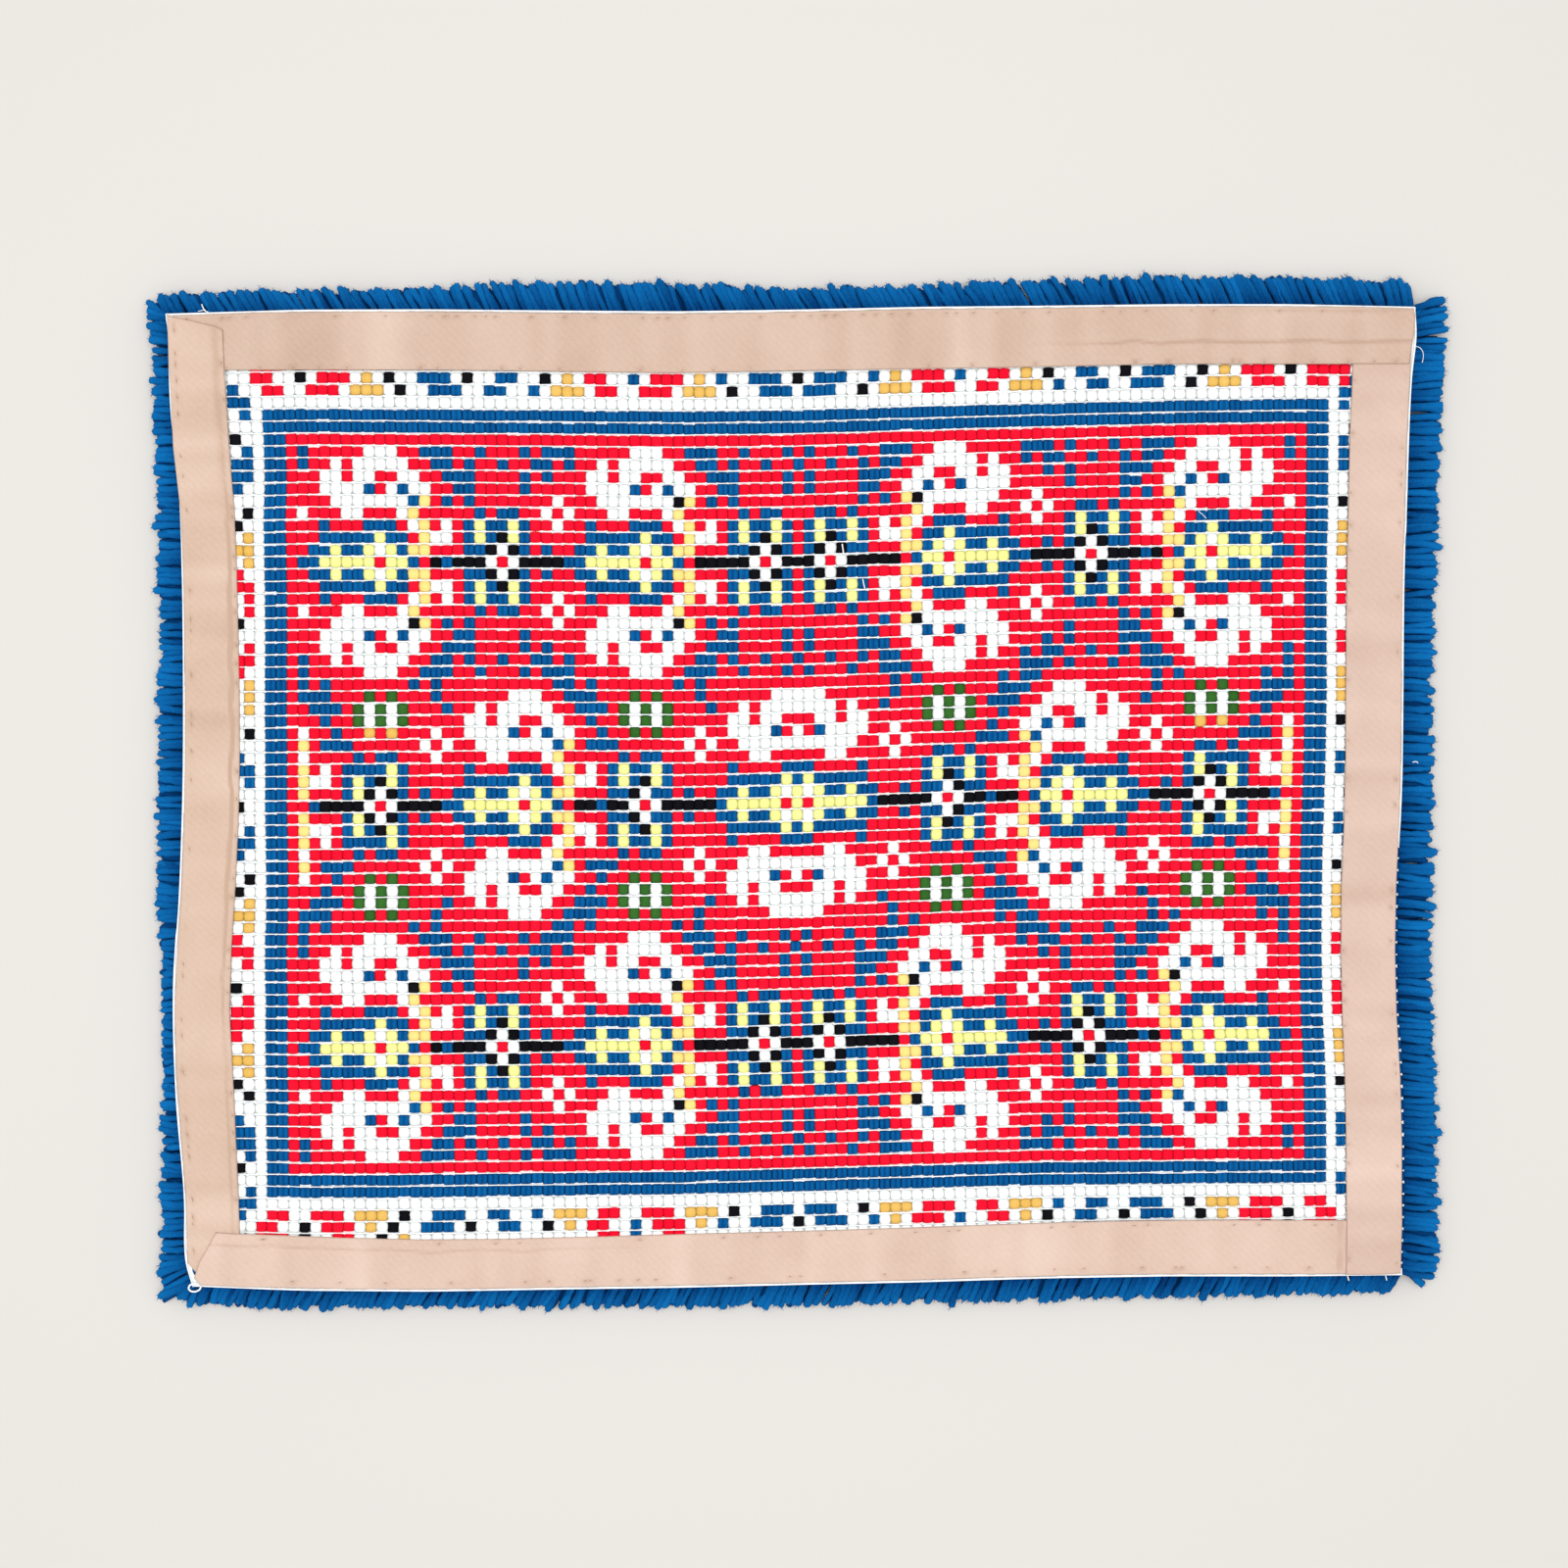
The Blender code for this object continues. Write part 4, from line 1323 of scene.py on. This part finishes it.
def frayed_ends(name, paths, radii, material):
    """Loose fibres that stand out of the strands near their cut tips."""
    count, rings = paths.shape[:2]
    strand = np.repeat(np.arange(count), FIBRES)
    ring = chance.integers(rings // 2, rings - 1, len(strand))
    share = chance.uniform(0, 1, len(strand))[:, None]
    base = paths[strand, ring] * (1 - share) + paths[strand, ring + 1] * share
    forward = paths[strand, -1] - paths[strand, -3]
    forward /= np.linalg.norm(forward, axis=1, keepdims=True)
    aside = chance.normal(0, 0.55, (len(strand), 3))
    aside[:, 2] *= 0.5
    heading = forward + aside
    heading /= np.linalg.norm(heading, axis=1, keepdims=True)
    reach = radii[strand, ring][:, None] * 0.6 + chance.uniform(1.0, 2.6, (len(strand), 1)) * MM
    path = np.stack([base, base + heading * reach], axis=1)
    path[:, :, 2] = np.maximum(path[:, :, 2], 3 * FIBRE_RADIUS)
    points, faces = tubes(path, np.tile([FIBRE_RADIUS * 1.4, FIBRE_RADIUS * 0.6], (len(path), 1)), 3)
    tone = np.repeat(chance.normal(0.35, 0.25, len(path)), 6)
    return make_piece(name, points, faces, material, "pile", tone)


frayed_ends("fringe_fibres", upper_paths, upper_radii, fringe_wool["upper"])

# %% The tufts under the rug
TUFT_TOP = 14.0 * MM
TUFT_SPREAD = 3.4 * MM
pile_wool = {
    letter: dyed_wool("pile_wool_" + name, light, dark, along=2)
    for letter, (name, light, dark) in YARNS.items()
}
TUFT_INSET = 0.6


def tufts(columns, rows):
    """Two cut ends for each knot, from the canvas down to the floor."""
    columns = np.repeat(columns, 2) + np.tile([0.27, 0.73], len(columns))
    rows = np.repeat(rows, 2) + 0.5 + chance.normal(0, 0.12, len(columns))
    low_column, high_column = -BORDER_KNOTS + TUFT_INSET, FIELD_COLUMNS + BORDER_KNOTS - TUFT_INSET
    low_row, high_row = -BORDER_KNOTS + TUFT_INSET, FIELD_ROWS + BORDER_KNOTS - TUFT_INSET
    x, y = lie(np.clip(columns, low_column, high_column), np.clip(rows, low_row, high_row))
    count = len(x)
    path = np.zeros((count, 2, 3))
    path[:, :, 0] = x[:, None]
    path[:, :, 1] = y[:, None]
    spread = np.clip(chance.normal(0, TUFT_SPREAD / 2, (count, 2)), -TUFT_SPREAD, TUFT_SPREAD)
    path[:, 1, :2] += spread
    path[:, 0, 2] = TUFT_TOP
    path[:, 1, 2] = chance.uniform(0.4, 2.2, count) * MM
    radii = np.tile(np.array([1.6, 2.1]) * MM, (count, 1))
    points, faces = tubes(path, radii, 3)
    points[:, 2] = np.maximum(points[:, 2], 0.05 * MM)
    return points, faces, np.repeat(chance.normal(0, 0.4, count), 6)


pile_tufts = []
for letter, (name, light, dark) in YARNS.items():
    mask = chart == letter
    points, faces, tone = tufts(column_of[mask], row_of[mask])
    pile_tufts.append(make_piece(
        "pile_" + name, points, faces, pile_wool[letter], "pile", tone, smooth=True
    ))

# %% [markdown]
# ## Loose threads
#
# A rug made by hand keeps a few loose ends: a loop of white cord at one corner where the canvas was
# tied off, short ends of sewing thread at the edge and stray fibres among the knots. Each is one
# thin tube along a line of points, told in millimetres from the middle of the rug.

# %% The loose ends
# name: thickness, height, and the places along it as x and y
LOOSE_ENDS = {
    "corner_loop": (1.1, 16.9, (
        (-371.0, -300.6), (-374.5, -300.9), (-376.9, -302.0), (-377.6, -304.0), (-375.9, -305.8),
        (-372.9, -306.0), (-370.4, -304.6), (-369.6, -302.6),
    )),
    "corner_curl": (0.7, 17.0, ((-369.3, 303.9), (-368.4, 301.6), (-367.2, 299.6), (-365.0, 298.8))),
    "corner_whisker": (0.45, 17.0, ((-371.5, 299.4), (-369.0, 300.0), (-366.9, 300.4))),
    "edge_curl": (0.4, 15.6, (
        (380.6, 278.3), (383.4, 277.4), (385.3, 275.2), (385.7, 271.9), (384.8, 268.0),
    )),
    "edge_end": (0.6, 16.6, ((378.5, 21.0), (380.8, 21.6), (382.0, 20.6))),
    "lower_end": (0.7, 16.6, ((338.4, -296.2), (339.2, -299.2))),
    "lower_end_right": (0.7, 16.6, ((361.8, -296.0), (362.6, -299.0))),
    "stray_fibre": (0.4, 17.45, ((246.0, 176.2), (248.7, 173.9), (251.0, 171.6))),
    "stray_fibre_middle": (0.8, 17.6, ((26.2, 155.8), (26.7, 152.4), (27.1, 149.3))),
    "stray_fibre_low": (0.7, 17.6, ((38.9, 134.2), (39.4, 131.4), (40.2, 128.3))),
}
LOOSE_STEPS = 4
parts = []
for name, (thickness, height, places) in LOOSE_ENDS.items():
    places = np.array(places) * MM + (middle_x, middle_y)
    stations = np.arange(len(places))
    fine = np.linspace(0, len(places) - 1, (len(places) - 1) * LOOSE_STEPS + 1)
    path = np.stack(
        [np.interp(fine, stations, places[:, axis]) for axis in (0, 1)]
        + [height * MM + 0.15 * MM * np.sin(fine * 2.1)], axis=-1,
    )
    for turn in range(2):
        path[1:-1] = (path[:-2] + path[1:-1] * 2 + path[2:]) / 4
    points, faces = tubes(path[None], np.full((1, len(fine)), thickness / 2 * MM), 6)
    parts.append((points, faces, np.zeros(len(points))))
points, faces, tone = join(parts)
loose_threads = make_piece("loose_threads", points, faces, canvas_cotton, "canvas", tone)

# %% [markdown]
# ## What lies on what
#
# The canvas and the four strips of tape are sheets of cloth, cut flat. The canvas lies on its own
# pile, and the tape on the canvas.

# %% The sizes of the tape strips
for side, (strip, length, width, heights) in strips.items():
    print(f"tape_{side}: {width / MM:.1f} x {length / MM:.0f} mm")

# %% [markdown]
# ## Floor and light
#
# The rug lies on a plain pale floor under the soft light of a bright room. One wide lamp overhead
# and a white sky give the even light of the real place, with soft dark only between the strands.

# %% A pale floor and soft studio light
FLOOR_SIZE = 8.0
floor_mesh = bpy.data.meshes.new("floor")
half = FLOOR_SIZE / 2
floor_mesh.from_pydata(
    [(-half, -half, 0), (half, -half, 0), (half, half, 0), (-half, half, 0)], [], [(0, 1, 2, 3)]
)
floor = bpy.data.objects.new("floor", floor_mesh)
floor.location.z = -0.2 * MM
bpy.context.scene.collection.objects.link(floor)
floor_paint, floor_tree, floor_shader = new_material("floor_matt_paint", roughness=0.9, specular=0.1)
floor_shader.inputs["Base Color"].default_value = linear("#D9D6D1")
floor_mesh.materials.append(floor_paint)

world = bpy.data.worlds.new("soft_room")
world.use_nodes = True
sky = world.node_tree.nodes["Background"]
sky.inputs["Color"].default_value = (1.0, 1.0, 1.0, 1.0)
sky.inputs["Strength"].default_value = 0.72
bpy.context.scene.world = world

lamp_data = bpy.data.lights.new("wide_lamp", "AREA")
lamp_data.shape = "RECTANGLE"
lamp_data.size = 2.4
lamp_data.size_y = 1.8
lamp_data.energy = 34.0
lamp = bpy.data.objects.new("wide_lamp", lamp_data)
lamp.location = (-0.1, 0.05, 2.2)
bpy.context.scene.collection.objects.link(lamp)
bpy.context.scene.view_settings.view_transform = "Standard"
print("lamp of", lamp_data.energy, "watts")
